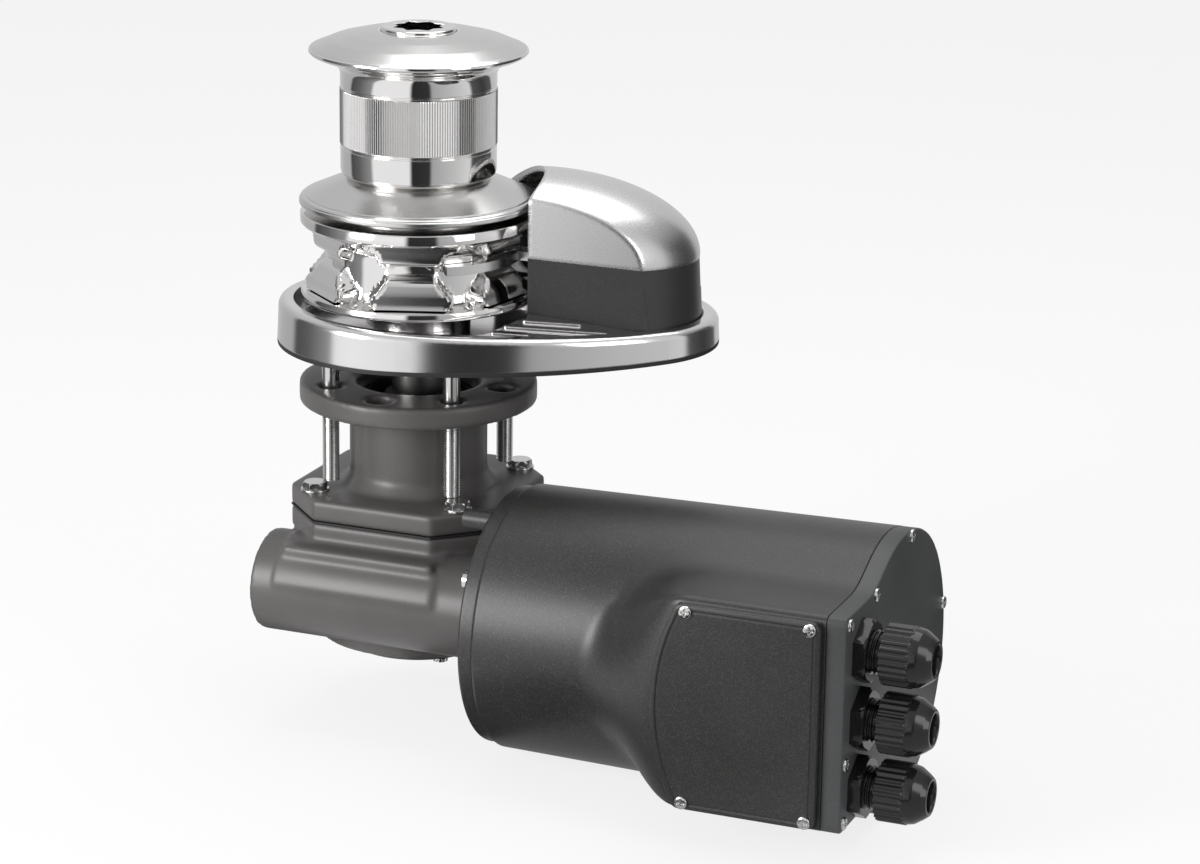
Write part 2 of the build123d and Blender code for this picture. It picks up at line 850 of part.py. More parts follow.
def shaft_circlips():
    clips = []
    for top in circlip_tops():
        clip = ring(shaft_radius + circlip_rise, shaft_radius - circlip_depth, top - circlip_height, top)
        mouth = (-circlip_mouth / 2, circlip_mouth / 2)
        clip -= block(mouth, (-shaft_radius - 5, 0), (top - 5, top + 5))
        clips.append(clip)
    return clips


def release_spring():
    low = gypsy_bottom + seat_depth - cone_end_gap + cone_boss_height + spring_wire_radius
    high = gypsy_top - seat_depth + cone_end_gap + spring_pocket_depth - spring_wire_radius
    height = high - low
    path = Helix(height / spring_turns, height, spring_mean_radius)
    wire = sweep(Plane(path @ 0, z_dir=path % 0) * Circle(spring_wire_radius), path=path, is_frenet=True)
    return Pos(0, 0, low) * wire


# Drum and clutch nut

def drum():
    foot = drum_barrel_radius - 1.5
    half = drum_groove_width / 2
    deep = drum_barrel_radius - drum_groove_depth
    smooth, knurled = drum_barrel_radius, drum_band_radius
    outline = [(shaft_radius + running_gap, cone_top), (foot, cone_top), (smooth, cone_top + 2)]
    for height, below, above in (
        (drum_band_bottom - 1, smooth, smooth), (drum_band_bottom + 1, smooth, knurled),
        (drum_band_top - 1, knurled, smooth), (drum_band_top + 1, smooth, smooth),
    ):
        outline.extend([(below, height - half), (deep, height - half)])
        outline.extend([(deep, height + half), (above, height + half)])
    outline.extend([
        (drum_barrel_radius, drum_flange_bottom - 1), (37, drum_flange_bottom + 1.5),
        (42, 131.3), (47, 133.2), (drum_flange_radius - 0.9, drum_rim_height - 0.6),
        (drum_flange_radius, drum_rim_height + 0.3), (drum_flange_radius - 0.2, drum_rim_height + 1.2),
        (drum_flange_radius - 3, drum_rim_height + drum_rim_thickness + 0.8), (40, 140.2), (30, 142.6),
        (22, drum_top - 0.4), (nut_ring_radius + body_gap, drum_top),
        (nut_ring_radius + body_gap, nut_ring_bottom - body_gap),
        (nut_radius + body_gap, nut_ring_bottom - body_gap),
        (nut_radius + body_gap, drum_shoulder), (shaft_radius + running_gap, drum_shoulder),
    ])
    body = turned(outline)
    return body - key_block(cone_top - 1, drum_shoulder, key_stand + running_gap)


def thrust_washer():
    return ring(nut_radius - 0.2, shaft_thread_radius + 0.3, drum_shoulder, drum_shoulder + washer_thickness)


def star(square):
    """The socket's outline: two squares, one turned by an eighth."""
    first = Rectangle(square, square)
    return first + Rot(0, 0, 45) * Rectangle(square, square)


def clutch_nut():
    low = drum_shoulder + washer_thickness
    nut = disc(nut_radius, low, nut_top - 0.5) + disc(nut_ring_radius, nut_ring_bottom, nut_top)
    nut = fillet(nut.faces().sort_by(Axis.Z)[-1].edges(), 1)
    nut -= disc(shaft_thread_radius + running_gap, low - 1, shaft_top + 0.5)
    return nut - Pos(0, 0, nut_top - socket_depth) * extrude(star(socket_square), socket_depth + 1)


# Gearbox

def octagon(z_low, z_high):
    """The eight-sided plate that the two halves of the gearbox share."""
    face = Rectangle(2 * plate_half, 2 * plate_half)
    face = chamfer(face.vertices(), plate_chamfer)
    return Pos(0, 0, z_low) * extrude(face, z_high - z_low)


def plate_bolt_places():
    return [(i * plate_bolt_offset, j * plate_bolt_offset) for i in (-1, 1) for j in (-1, 1)]


def gearbox_top():
    body = disc(flange_radius, flange_bottom, flange_top)
    body = fillet(body.edges(), flange_edge_round)
    neck = disc(neck_radius, plate_top, flange_bottom + 0.5)
    plate = octagon(plate_bottom, plate_top)
    foot = turned([(0, plate_top - 1), (neck_radius + neck_foot_round, plate_top - 1),
                   (neck_radius + neck_foot_round, plate_top), (neck_radius, plate_top + neck_foot_round * 1.5),
                   (0, plate_top + neck_foot_round * 1.5)])
    step = neck_radius + flange_head_step
    head = turned([(0, flange_bottom + 1), (step, flange_bottom + 1), (step, flange_bottom),
                   (neck_radius, flange_bottom - 4), (0, flange_bottom - 4)])
    body = body + neck + plate + foot + head
    seat = upper_bearing_top + seal_height
    body -= disc(flange_mouth_radius, seat, flange_top + 1)
    mouth = flange_mouth_radius
    body -= turned([(0, flange_top), (mouth + 2, flange_top), (mouth, flange_top - 2), (0, flange_top - 2)])
    body -= disc(shaft_bearing_outside, upper_bearing_top - shaft_bearing_width, seat + 1)
    body -= disc(shaft_bearing_outside - race_shoulder, plate_bottom - 1, upper_bearing_top)
    for x, y in stud_places():
        body -= disc(flange_hole_radius, flange_bottom - 1, flange_top + 1, x, y)
    for x, y in [(0, -axis_hole_offset), (axis_hole_offset, 0), (0, axis_hole_offset), (-axis_hole_offset, 0)]:
        body -= disc(axis_hole_radius, flange_top - axis_hole_depth, flange_top + 1, x, y)
    for x, y in plate_bolt_places():
        body -= disc(bolt_radius, plate_bottom - 1, plate_top + 1, x, y)
    return body


def gearbox_gasket():
    gasket = octagon(plate_bottom - gearbox_gasket_thickness, plate_bottom)
    gasket -= disc(housing_radius - housing_wall, plate_bottom - 5, plate_bottom + 5)
    for x, y in plate_bolt_places():
        gasket -= disc(bolt_radius, plate_bottom - 5, plate_bottom + 5, x, y)
    return gasket


def gearbox_bolts():
    bolts = []
    for x, y in plate_bolt_places():
        bolt = disc(bolt_radius, housing_top - housing_flange_thickness + 1, plate_top + 1, x, y)
        head = hexagon(bolt_head_flats, plate_top, plate_top + bolt_head_height)
        bolts.append(bolt + Pos(x, y, 0) * Rot(0, 0, plate_bolt_turn) * head)
    return bolts


def gearbox_body():
    body = octagon(housing_top - housing_flange_thickness, housing_top)
    body += disc(housing_radius, housing_bottom, housing_top - 1)
    body += disc_x(worm_tube_radius, worm_tube_left, worm_tube_right)
    body += disc_x(motor_boss_radius, worm_tube_right - motor_boss_length, worm_tube_right)
    bridge = block((worm_panel_left, worm_panel_right), (motor_y, 0), (motor_z - worm_tube_radius, motor_z))
    body += bridge
    panel = disc_x(worm_tube_radius + worm_panel_rise, worm_panel_left, worm_panel_right)
    body += panel & block((-100, 100), (-100, motor_y + 10), (motor_z + 5, 0))
    web = block((worm_panel_left + 2, worm_panel_right - 2), (motor_y - worm_tube_radius + 6, 0),
                (motor_z, housing_top - housing_flange_thickness + 1))
    body += web
    chamber_top = housing_top
    body -= disc(housing_radius - housing_wall, motor_z - wheel_face / 2 - 2, chamber_top + 1)
    body -= disc(shaft_bearing_outside, housing_bottom - 1, lower_bearing_top)
    body -= disc(shaft_bearing_outside - race_shoulder, lower_bearing_top - 1, motor_z)
    body -= disc_x(worm_bore_radius, worm_tube_left - 1, worm_tube_right + 1)
    body -= disc_x(worm_bearing_outside, worm_tube_left - 1, left_bearing_right)
    body -= disc_x(worm_bearing_outside, right_bearing_left, worm_tube_right + 1)
    for x, y in plate_bolt_places():
        body -= disc(bolt_radius, housing_top - housing_flange_thickness + 1, housing_top + 1, x, y)
    for y, z in motor_screw_places():
        body -= disc_x(motor_screw_radius, worm_tube_right - motor_boss_length - 1, worm_tube_right + 1, y, z)
    for x, y in bottom_screw_places():
        body -= disc(bottom_screw_radius, housing_bottom - 1, housing_bottom + bottom_screw_depth, x, y)
    return body


def bottom_screw_places():
    turns = [radians(45 + 90 * i) for i in range(4)]
    return [(bottom_screw_circle * cos(turn), bottom_screw_circle * sin(turn)) for turn in turns]


def bottom_cover():
    low = housing_bottom - bottom_cover_height
    cover = disc(bottom_cover_radius, low, housing_bottom)
    cover = fillet(cover.faces().sort_by(Axis.Z)[0].edges(), 1)
    recess = housing_bottom - bottom_cover_recess
    cover -= disc(shaft_bearing_outside - race_shoulder, recess, housing_bottom + 1)
    for x, y in bottom_screw_places():
        cover -= disc(bottom_screw_radius, low - 1, housing_bottom + 1, x, y)
    return cover


def bottom_cover_screws():
    screws = []
    low = housing_bottom - bottom_cover_height
    for x, y in bottom_screw_places():
        screw = disc(bottom_screw_radius, low, housing_bottom + bottom_screw_depth, x, y)
        screw += disc(bottom_screw_radius * 1.7, low - 1.6, low, x, y)
        slot = Box(slot_width, 5 * bottom_screw_radius, slot_depth)
        screws.append(screw - Pos(x, y, low - slot_depth) * slot)
    return screws


def shaft_bearings():
    """Both bearings of the main shaft: outer races, inner races and balls."""
    outers, inners, balls = [], [], []
    for top in (upper_bearing_top, lower_bearing_top):
        low = top - shaft_bearing_width
        outer, inner, set_of_balls = ball_bearing(shaft_bearing_outside, shaft_radius, low, top)
        outers.append(outer)
        inners.append(inner)
        balls.extend(set_of_balls)
    return outers, inners, balls


def gearbox_seal():
    low = upper_bearing_top
    seal = ring(shaft_bearing_outside, shaft_radius + running_gap, low, low + seal_height)
    lip = shaft_radius + race_shoulder
    return seal - ring(shaft_bearing_outside - race_shoulder, lip, low + 2, low + seal_height + 1)


# Worm and wheel

def tooth_half_angle(radius):
    """Half the angle that a wheel tooth takes up at a radius, with involute flanks."""
    base = wheel_pitch_radius * cos(radians(pressure_angle))
    pressure = sqrt(max((radius / base) ** 2 - 1, 0))
    involute = pressure - atan(pressure)
    at_pitch = tan(radians(pressure_angle)) - radians(pressure_angle)
    return pi / 2 / wheel_teeth - tooth_backlash / 4 / wheel_pitch_radius + at_pitch - involute


def tooth_space():
    """One space between two wheel teeth, as a cutter that leans with the worm's lead."""
    root = wheel_pitch_radius - 1.25 * gear_module
    tip = wheel_pitch_radius + gear_module + 0.5
    left, right = [], []
    for i in range(7):
        radius = root + (tip - root) * i / 6
        half = pi / wheel_teeth - tooth_half_angle(radius)
        left.append((radius * cos(half), radius * sin(half)))
        right.append((radius * cos(half), -radius * sin(half)))
    face = make_face(Polyline(*left, *reversed(right), close=True))
    return Rot(wheel_lean, 0, 0) * extrude(face, wheel_face, both=True)


def worm_wheel():
    wheel = disc(wheel_pitch_radius + gear_module, -wheel_face / 2, wheel_face / 2)
    wheel -= around(tooth_space(), wheel_teeth, -90)
    wheel += disc(wheel_hub_radius, -wheel_face / 2 - wheel_hub_step, wheel_face / 2 + wheel_hub_step)
    rim = wheel_pitch_radius - wheel_rim_width
    for side in (-1, 1):
        web = ring(rim, wheel_hub_radius, wheel_face / 2 - wheel_web_recess, wheel_face)
        wheel -= web if side > 0 else Rot(180, 0, 0) * web
    wheel = Pos(0, 0, motor_z) * (wheel - disc(shaft_radius + running_gap, -50, 50))
    return wheel - key_block(motor_z - wheel_face, motor_z + wheel_face, key_stand + running_gap)


def worm_shaft():
    root = worm_pitch_radius - 1.25 * gear_module
    tip = worm_pitch_radius + gear_module
    half_pitch = lead / 4 - tooth_backlash / 4
    slope = tan(radians(pressure_angle))
    length = lead * worm_turns
    points = [
        (root - 0.4, -half_pitch - slope * (worm_pitch_radius - root + 0.4)),
        (tip, -half_pitch + slope * gear_module),
        (tip, half_pitch - slope * gear_module),
        (root - 0.4, half_pitch + slope * (worm_pitch_radius - root + 0.4)),
    ]
    path = Helix(lead, length, worm_pitch_radius, lefthand=False)
    face = make_face(Polyline(*[(r, 0, z) for r, z in points], close=True))
    thread = Pos(0, 0, -length / 2) * sweep(face, path=path, is_frenet=True)
    thread &= Cylinder(tip + 1, length - lead)
    core = Cylinder(root, length)
    shaft = on_motor_axis(thread + core)
    shaft += disc_x(worm_bearing_bore, left_bearing_left - 2, -length / 2 + lead / 2)
    shaft += disc_x(worm_bearing_bore, length / 2 - lead / 2, commutator_right + 3)
    shaft += disc_x(rear_journal_radius, commutator_right, can_right + 3)
    return shaft


def worm_bearings():
    """Both bearings of the worm: outer races, inner races and balls."""
    outers, inners, balls = [], [], []
    for left in (left_bearing_left, right_bearing_left):
        right = left + worm_bearing_width
        outer, inner, set_of_balls = ball_bearing(worm_bearing_outside, worm_bearing_bore, left, right)
        outers.append(on_motor_axis(outer))
        inners.append(on_motor_axis(inner))
        balls.extend(on_motor_axis(ball) for ball in set_of_balls)
    return outers, inners, balls


def worm_seal():
    left = right_bearing_left + worm_bearing_width
    return ring_x(worm_bearing_outside, worm_bearing_bore + running_gap, left, worm_tube_right)


def worm_end_plug():
    plug = disc_x(worm_bearing_outside, worm_tube_left + worm_plug_inset, left_bearing_left)
    recess = left_bearing_left - race_shoulder
    return plug - disc_x(worm_bearing_bore + 1, recess, left_bearing_left + 1)


# Motor

def motor_screw_places():
    turns = [radians(45 + 90 * i) for i in range(4)]
    circle = motor_screw_circle
    return [(motor_y + circle * cos(turn), motor_z + circle * sin(turn)) for turn in turns]


def motor_flange():
    flange = disc_x(motor_flange_radius, worm_tube_right, motor_start)
    flange = fillet(flange.faces().sort_by(Axis.X)[0].edges(), 1.5)
    flange -= disc_x(worm_bearing_bore + hole_edge, worm_tube_right - 1, motor_start + 1)
    for y, z in motor_screw_places():
        flange -= disc_x(motor_screw_radius, worm_tube_right - 1, motor_start - 1, y, z)
    for y, z in tie_rod_places():
        flange -= disc_x(tie_rod_radius, motor_start - tie_rod_depth, motor_start + 1, y, z)
    left = worm_tube_right - lug_length
    lug = disc_x(lug_radius, left, worm_tube_right + 1, motor_y + lug_y, motor_z + lug_z)
    return flange + lug


def motor_flange_screws():
    screws = []
    left = worm_tube_right - motor_boss_length
    for y, z in motor_screw_places():
        screw = disc_x(motor_screw_radius, left, motor_start - 1, y, z)
        screw += disc_x(motor_screw_radius * 1.7, left - 4, left, y, z)
        hexagon_cut = Plane((left - 4, y, z), x_dir=(0, 1, 0), z_dir=(1, 0, 0)).location * extrude(
            RegularPolygon(2.4, 6), 2.5)
        screws.append(screw - hexagon_cut)
    return screws


def tie_rod_places():
    return [(motor_y, motor_z + sign * tie_rod_circle) for sign in (-1, 1)]


def motor_can():
    return ring_x(can_radius, can_radius - can_wall, motor_start, can_right)


def motor_magnets():
    outer = can_radius - can_wall
    left, right = core_left - magnet_overhang, core_right + magnet_overhang
    shell = ring_x(outer, outer - magnet_thickness, left, right)
    gap = block((0, 300), (motor_y - magnet_gap / 2, motor_y + magnet_gap / 2), (-300, 300))
    return (shell - gap).solids()


def armature_core():
    core = Cylinder(core_radius, core_length) - Cylinder(worm_bearing_bore + 0.01, core_length + 2)
    slot = Pos(core_radius - slot_depth_to_middle, 0, 0) * Cylinder(slot_radius, core_length + 2)
    mouth = Pos(core_radius, 0, 0) * Box(slot_depth_to_middle + 1, slot_mouth, core_length + 2)
    core -= around(slot, core_slots) + around(mouth, core_slots)
    core = core.solids().sort_by(SortBy.VOLUME)[-1]
    return Pos((core_left + core_right) / 2, 0, 0) * on_motor_axis(core)


def armature_windings():
    """Bars in the core's slots, joined by a ring of wire at each end."""
    reach = core_length + 2 * winding_core_gap + winding_head
    bar = Cylinder(slot_radius - winding_gap, reach)
    winding = around(Pos(core_radius - slot_depth_to_middle, 0, 0) * bar, core_slots)
    head = Cylinder(core_radius - 1, winding_head) - Cylinder(worm_bearing_bore + 4.5, winding_head + 1)
    offset = core_length / 2 + winding_core_gap + winding_head / 2
    winding = Pos(0, 0, -offset) * head + Pos(0, 0, offset) * head + winding
    return Pos((core_left + core_right) / 2, 0, 0) * on_motor_axis(winding)


def commutator():
    ring_solid = Cylinder(commutator_radius, commutator_length)
    ring_solid -= Cylinder(worm_bearing_bore, commutator_length + 1)
    groove = Pos(commutator_radius, 0, 0) * Box(3, commutator_slit, commutator_length + 1)
    ring_solid -= around(groove, 2 * core_slots)
    return Pos(commutator_right - commutator_length / 2, 0, 0) * on_motor_axis(ring_solid)


def brush_shapes(holder):
    """Two radial blocks over the commutator: the holders, or the brushes that slide in them."""
    solids = []
    middle = commutator_right - commutator_length / 2
    half = brush_size / 2
    wall = half + holder_wall
    for side in (-1, 1):
        inner = motor_y + side * (commutator_radius + body_gap)
        outer = motor_y + side * (commutator_radius + brush_reach)
        if holder:
            y = sorted((inner + side * 2, outer))
            room = block((middle - half, middle + half), (y[0] - 1, y[1] + 1), (motor_z - half, motor_z + half))
            solids.append(block((middle - wall, can_right), y, (motor_z - wall, motor_z + wall)) - room)
        else:
            y = sorted((inner, outer - side * 2))
            solids.append(block((middle - half, middle + half), y, (motor_z - half, motor_z + half)))
    return solids


def motor_rear_shield():
    shield = disc_x(can_radius, can_right, can_right + shield_thickness)
    shield = fillet(shield.faces().sort_by(Axis.X)[-1].edges(), 2)
    shield -= disc_x(rear_journal_radius + running_gap, can_right - 1, can_right + 4)
    for y, z in tie_rod_places():
        shield -= disc_x(tie_rod_radius, can_right - 1, can_right + shield_thickness + 1, y, z)
    return shield


def motor_tie_rods():
    rods = []
    for y, z in tie_rod_places():
        seat = can_right + shield_thickness
        rod = disc_x(tie_rod_radius, motor_start - tie_rod_depth, seat + 1, y, z)
        head = disc_x(tie_rod_radius * 1.8, seat, seat + 3.5, y, z)
        rods.append(rod + head)
    return rods


# Motor cover

def box_section(inset):
    """End view of the terminal box with the shoulder that joins it to the round cover, in Y and Z."""
    top = box_middle + box_half_height - inset
    low = box_middle - box_half_height + inset
    front = box_front + lid_thickness + lid_gasket_thickness + inset
    outline = Polyline((motor_y, low), (front, low), (front, top), (box_shoulder, top))
    rise = Spline((box_shoulder, top), (motor_y - 22, motor_z + cover_right_radius - inset - 5),
                  tangents=[(1, 0), (1, 0.15)])
    close = Polyline(rise @ 1, (motor_y, motor_z), (motor_y, low))
    return make_face(Wire([*outline.edges(), *rise.edges(), *close.edges()]))


def cover_section(inset):
    """End view of the whole cover: the round motor end and the terminal box."""
    return box_section(inset) + Pos(motor_y, motor_z) * Circle(cover_right_radius - inset)


def cover_bulge(inset):
    """Plan of the terminal box with its left side sweeping out of the round cover, in X and Y."""
    front = box_front + lid_thickness + lid_gasket_thickness + inset
    start = motor_y - cover_left_radius + 3 + inset
    sweep_line = Spline((bulge_start + inset, start), (box_left + inset, front),
                        tangents=[(1, 0), (0.5, -1)])
    rest = Polyline(sweep_line @ 1, (cover_end + 30, front), (cover_end + 30, motor_y),
                    (bulge_start + inset, motor_y), sweep_line @ 0)
    face = make_face(Wire([*sweep_line.edges(), *rest.edges()]))
    return Pos(0, 0, -300) * extrude(face, 400)


def motor_cover_volume(inset, right):
    """The space within the cover's outside, drawn in by inset."""
    radius_step = (cover_right_radius - cover_left_radius) / (cap_end - motor_start)
    end_radius = cover_left_radius + radius_step * (right - motor_start)
    left = motor_start - (1 if inset else 0)
    body = Pos((left + right) / 2, motor_y, motor_z) * Rot(0, 90, 0) * Cone(
        cover_left_radius - inset, end_radius - inset, right - left)
    section = Plane.YZ.offset(bulge_start) * box_section(inset)
    box = extrude(section, right - bulge_start) & cover_bulge(inset)
    return body + box


def cap_screw_places():
    """Places of the end cap's screws in Y and Z: round the motor's end, and along the box's front."""
    places = []
    circle = cover_right_radius - cap_screw_inset
    for turn in cap_screw_turns:
        places.append((motor_y - circle * sin(radians(turn)), motor_z + circle * cos(radians(turn))))
    across = box_front + cap_corner_across
    high = box_middle + box_half_height - cap_corner_inset
    low = box_middle - box_half_height + cap_corner_inset
    gland_gap = gland_heights()[0] + gland_pitch / 2
    places.append((box_shoulder + cap_corner_inset, high + cap_screw_inset))
    return places + [(across, high), (across, gland_gap), (across, low)]


def lid_screw_places():
    """Places of the lid's screws in X and Z."""
    left = box_corner_left + lid_screw_side_inset
    right = lid_right - lid_screw_side_inset
    reach = box_half_height - lid_screw_end_inset
    return [(x, box_middle + side * reach) for x in (left, right) for side in (-1, 1)]


def motor_cover():
    body = motor_cover_volume(0, cover_end)
    body -= motor_cover_volume(motor_cover_wall, cover_end + 1)
    front = box_front + lid_thickness + lid_gasket_thickness
    body -= block((box_corner_left + 6, cover_end - 5), (front - 1, front + 10),
                  (box_middle - box_half_height + 4, box_middle + box_half_height - 4))
    inside = motor_cover_volume(0.2, cover_end)
    for y, z in cap_screw_places():
        body += disc_x(cap_boss_radius, cover_end - cap_screw_depth - 5, cover_end, y, z) & inside
    for x, z in lid_screw_places():
        body += Pos(x, front + 3, z) * Rot(90, 0, 0) * Cylinder(lid_boss_radius, 6) & inside
        body -= lid_screw_shank(x, z)
    for y, z in cap_screw_places():
        body -= disc_x(cap_screw_radius, cover_end - cap_screw_depth, cover_end + 1, y, z)
    return body.solids().sort_by(SortBy.VOLUME)[-1]


def lid_face(inset):
    """Outline of the terminal box's lid in X and Z, with a bowed left side."""
    low = box_middle - box_half_height + lid_margin + inset
    top = box_middle + box_half_height - lid_margin - inset
    left = box_corner_left + inset
    right = lid_right - inset
    bow = ThreePointArc((left, top), (box_left + inset + 2, box_middle), (left, low))
    rest = Polyline((left, low), (right, low), (right, top), (left, top))
    return make_face(Wire([*bow.edges(), *rest.edges()]))


def front_slab(face, y_front, y_back):
    """A slab facing -Y, cut to an outline in X and Z."""
    return Plane((0, y_back, 0), x_dir=(1, 0, 0), z_dir=(0, -1, 0)).location * extrude(face, y_back - y_front)


def terminal_lid():
    lid = front_slab(lid_face(0), box_front, box_front + lid_thickness)
    lid = fillet(lid.faces().sort_by(Axis.Y)[0].edges(), 0.8)
    for x, z in lid_screw_places():
        lid -= Pos(x, box_front, z) * Rot(90, 0, 0) * Cylinder(lid_screw_radius, 20)
    return lid


def lid_gasket():
    back = box_front + lid_thickness + lid_gasket_thickness
    gasket = front_slab(lid_face(0.4), back - lid_gasket_thickness, back)
    for x, z in lid_screw_places():
        gasket -= Pos(x, back, z) * Rot(90, 0, 0) * Cylinder(lid_screw_radius, 20)
    return gasket


def lid_screw_shank(x, z):
    shank = Cylinder(lid_screw_radius, lid_screw_length)
    return Pos(x, box_front + lid_screw_length / 2, z) * Rot(90, 0, 0) * shank


def lid_screws():
    screws = []
    for x, z in lid_screw_places():
        shank = lid_screw_shank(x, z)
        head = Pos(x, box_front - 0.6, z) * Rot(90, 0, 0) * Cylinder(lid_screw_head, 1.2)
        head -= Pos(x, box_front - 1, z) * Rot(0, 30, 0) * Box(4, 1, 1)
        screws.append(shank + head)
    return screws


def end_cap():
    section = cover_section(0)
    cap = extrude(Plane.YZ.offset(cover_end) * section, cap_end - cover_end)
    cap = fillet(cap.faces().sort_by(Axis.X)[-1].edges(), 1.2)
    room = Plane.YZ.offset(cover_end - 1) * cover_section(motor_cover_wall)
    cap -= extrude(room, cap_end - cap_plate - cover_end + 1)
    for y, z in cap_screw_places():
        boss = disc_x(cap_boss_radius, cover_end, cap_end - 1, y, z)
        cap += boss & extrude(Plane.YZ.offset(cover_end) * cover_section(0.2), cap_end - cover_end - 0.5)
        cap -= disc_x(cap_screw_radius, cover_end - 1, cap_end + 1, y, z)
    for z in gland_heights():
        cap -= disc_x(gland_thread_radius, cover_end - 1, cap_end + 1, gland_across, z)
    return cap


def end_cap_screws():
    screws = []
    for y, z in cap_screw_places():
        screw = disc_x(cap_screw_radius, cover_end - cap_screw_depth, cap_end + 0.5, y, z)
        screw += disc_x(cap_screw_radius * 1.9, cap_end, cap_end + 1.2, y, z)
        screws.append(screw - Pos(cap_end + 1, y, z) * Rot(30, 0, 0) * Box(1, 4, 0.9))
    return screws


def gland_heights():
    middle = box_middle - gland_drop
    return [middle + gland_pitch * i for i in (-1, 0, 1)]


def at_gland(solid, z):
    """Puts a piece built along Z on one of the cable glands, outwards from the end cap."""
    return Plane((cap_end, gland_across, z), x_dir=(0, 1, 0), z_dir=(1, 0, 0)).location * solid


def gland_body():
    top = gland_base_height + gland_neck_height + gland_nut_height - 3
    body = hexagon(gland_flats, 0, gland_base_height)
    body += disc(gland_thread_radius, -cap_plate - 9, top)
    locknut = hexagon(gland_locknut_flats, -cap_plate - 5, -cap_plate)
    return body + locknut - disc(gland_thread_radius - gland_wall, -30, top + 1)


def gland_seal():
    low = gland_base_height + gland_neck_height + 3
    top = gland_base_height + gland_neck_height + gland_nut_height
    return ring(gland_thread_radius - gland_wall, gland_bore_radius, low, top)


def gland_dome_nut():
    low = gland_base_height + gland_neck_height
    nut_end = low + gland_nut_height
    top = nut_end + gland_dome_height
    outer = gland_flats / 2 + 0.6
    nut = disc(outer, low, nut_end)
    rib = Pos(outer, 0, low + gland_nut_height / 2) * Box(rib_stand, rib_across, gland_nut_height)
    nut += around(rib, gland_ribs)
    nut += turned([(0, nut_end), (outer, nut_end), (outer - 0.8, nut_end + 3), (outer - 3.5, nut_end + 7),
                   (gland_bore_radius + 1.5, top), (0, top)])
    nut -= disc(gland_thread_radius, low - 1, nut_end + 0.01)
    return nut - disc(gland_bore_radius, nut_end - 1, top + 1)


def terminal_block():
    x = (terminal_left, terminal_left + terminal_width)
    middle = motor_z
    z = (middle - terminal_height / 2, middle + terminal_height / 2)
    face = motor_y - can_radius
    body = block(x, (face - terminal_depth, face + 6), z)
    body -= disc_x(can_radius, 0, 400)
    for x, z in terminal_places():
        body -= Pos(x, face - 10, z) * Rot(90, 0, 0) * Cylinder(terminal_stud_radius, 12)
    return body


def terminal_places():
    x = terminal_left + terminal_width / 2
    return [(x, motor_z + step * terminal_pitch) for step in (-1, 0, 1)]


def terminal_studs():
    studs = []
    face = motor_y - can_radius
    for x, z in terminal_places():
        stud = Pos(x, face - 12, z) * Rot(90, 0, 0) * Cylinder(terminal_stud_radius, 16)
        nut = Pos(x, face - terminal_depth, z) * Rot(90, 0, 0) * hexagon(terminal_nut_flats, 0, 4)
        studs.append(stud + nut)
    return studs


def rest_of_pieces():
    shaft_outers, shaft_inners, shaft_balls = shaft_bearings()
    worm_outers, worm_inners, worm_balls = worm_bearings()
    save("shaft_bearing_outers", *shaft_outers)
    save("shaft_bearing_inners", *shaft_inners)
    save("shaft_bearing_balls", *shaft_balls)
    save("worm_bearing_outers", *worm_outers)
    save("worm_bearing_inners", *worm_inners)
    save("worm_bearing_balls", *worm_balls)
    save("oil_seals", base_seal(), gearbox_seal(), worm_seal())
    save("gland_bodies", *[at_gland(gland_body(), z) for z in gland_heights()])
    save("gland_seals", *[at_gland(gland_seal(), z) for z in gland_heights()])
    save("gland_dome_nuts", *[at_gland(gland_dome_nut(), z) for z in gland_heights()])
    save("brush_holders", *brush_shapes(True))
    save("brushes", *brush_shapes(False))


single_pieces = [
    base_gasket, deck_base, base_bush, chain_stripper, cover_body, cover_shell, cover_latch, lever_pin,
    lever_spring, pressure_lever, gypsy, lower_clutch_cone, upper_clutch_cone, release_spring, drum,
    thrust_washer, clutch_nut, main_shaft, worm_wheel, gearbox_top, gearbox_gasket, gearbox_body, bottom_cover,
    worm_end_plug, worm_shaft, motor_flange, motor_can, motor_rear_shield, armature_core, armature_windings,
    commutator, motor_cover, terminal_lid, lid_gasket, end_cap, terminal_block,
]
grouped_pieces = [
    deck_studs, base_screws, shaft_keys, shaft_circlips, gearbox_bolts, bottom_cover_screws,
    motor_flange_screws, motor_magnets, motor_tie_rods, lid_screws, end_cap_screws, terminal_studs,
]

os.makedirs("parts", exist_ok=True)
for piece in single_pieces:
    save(piece.__name__, piece())
for group in grouped_pieces:
    save(group.__name__, *group())
rest_of_pieces()
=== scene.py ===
"""Vertical deck windlass, dressed for a studio picture."""
from math import cos, hypot, pi, radians, sin

import bmesh
import bpy
from mathutils import Matrix, Vector


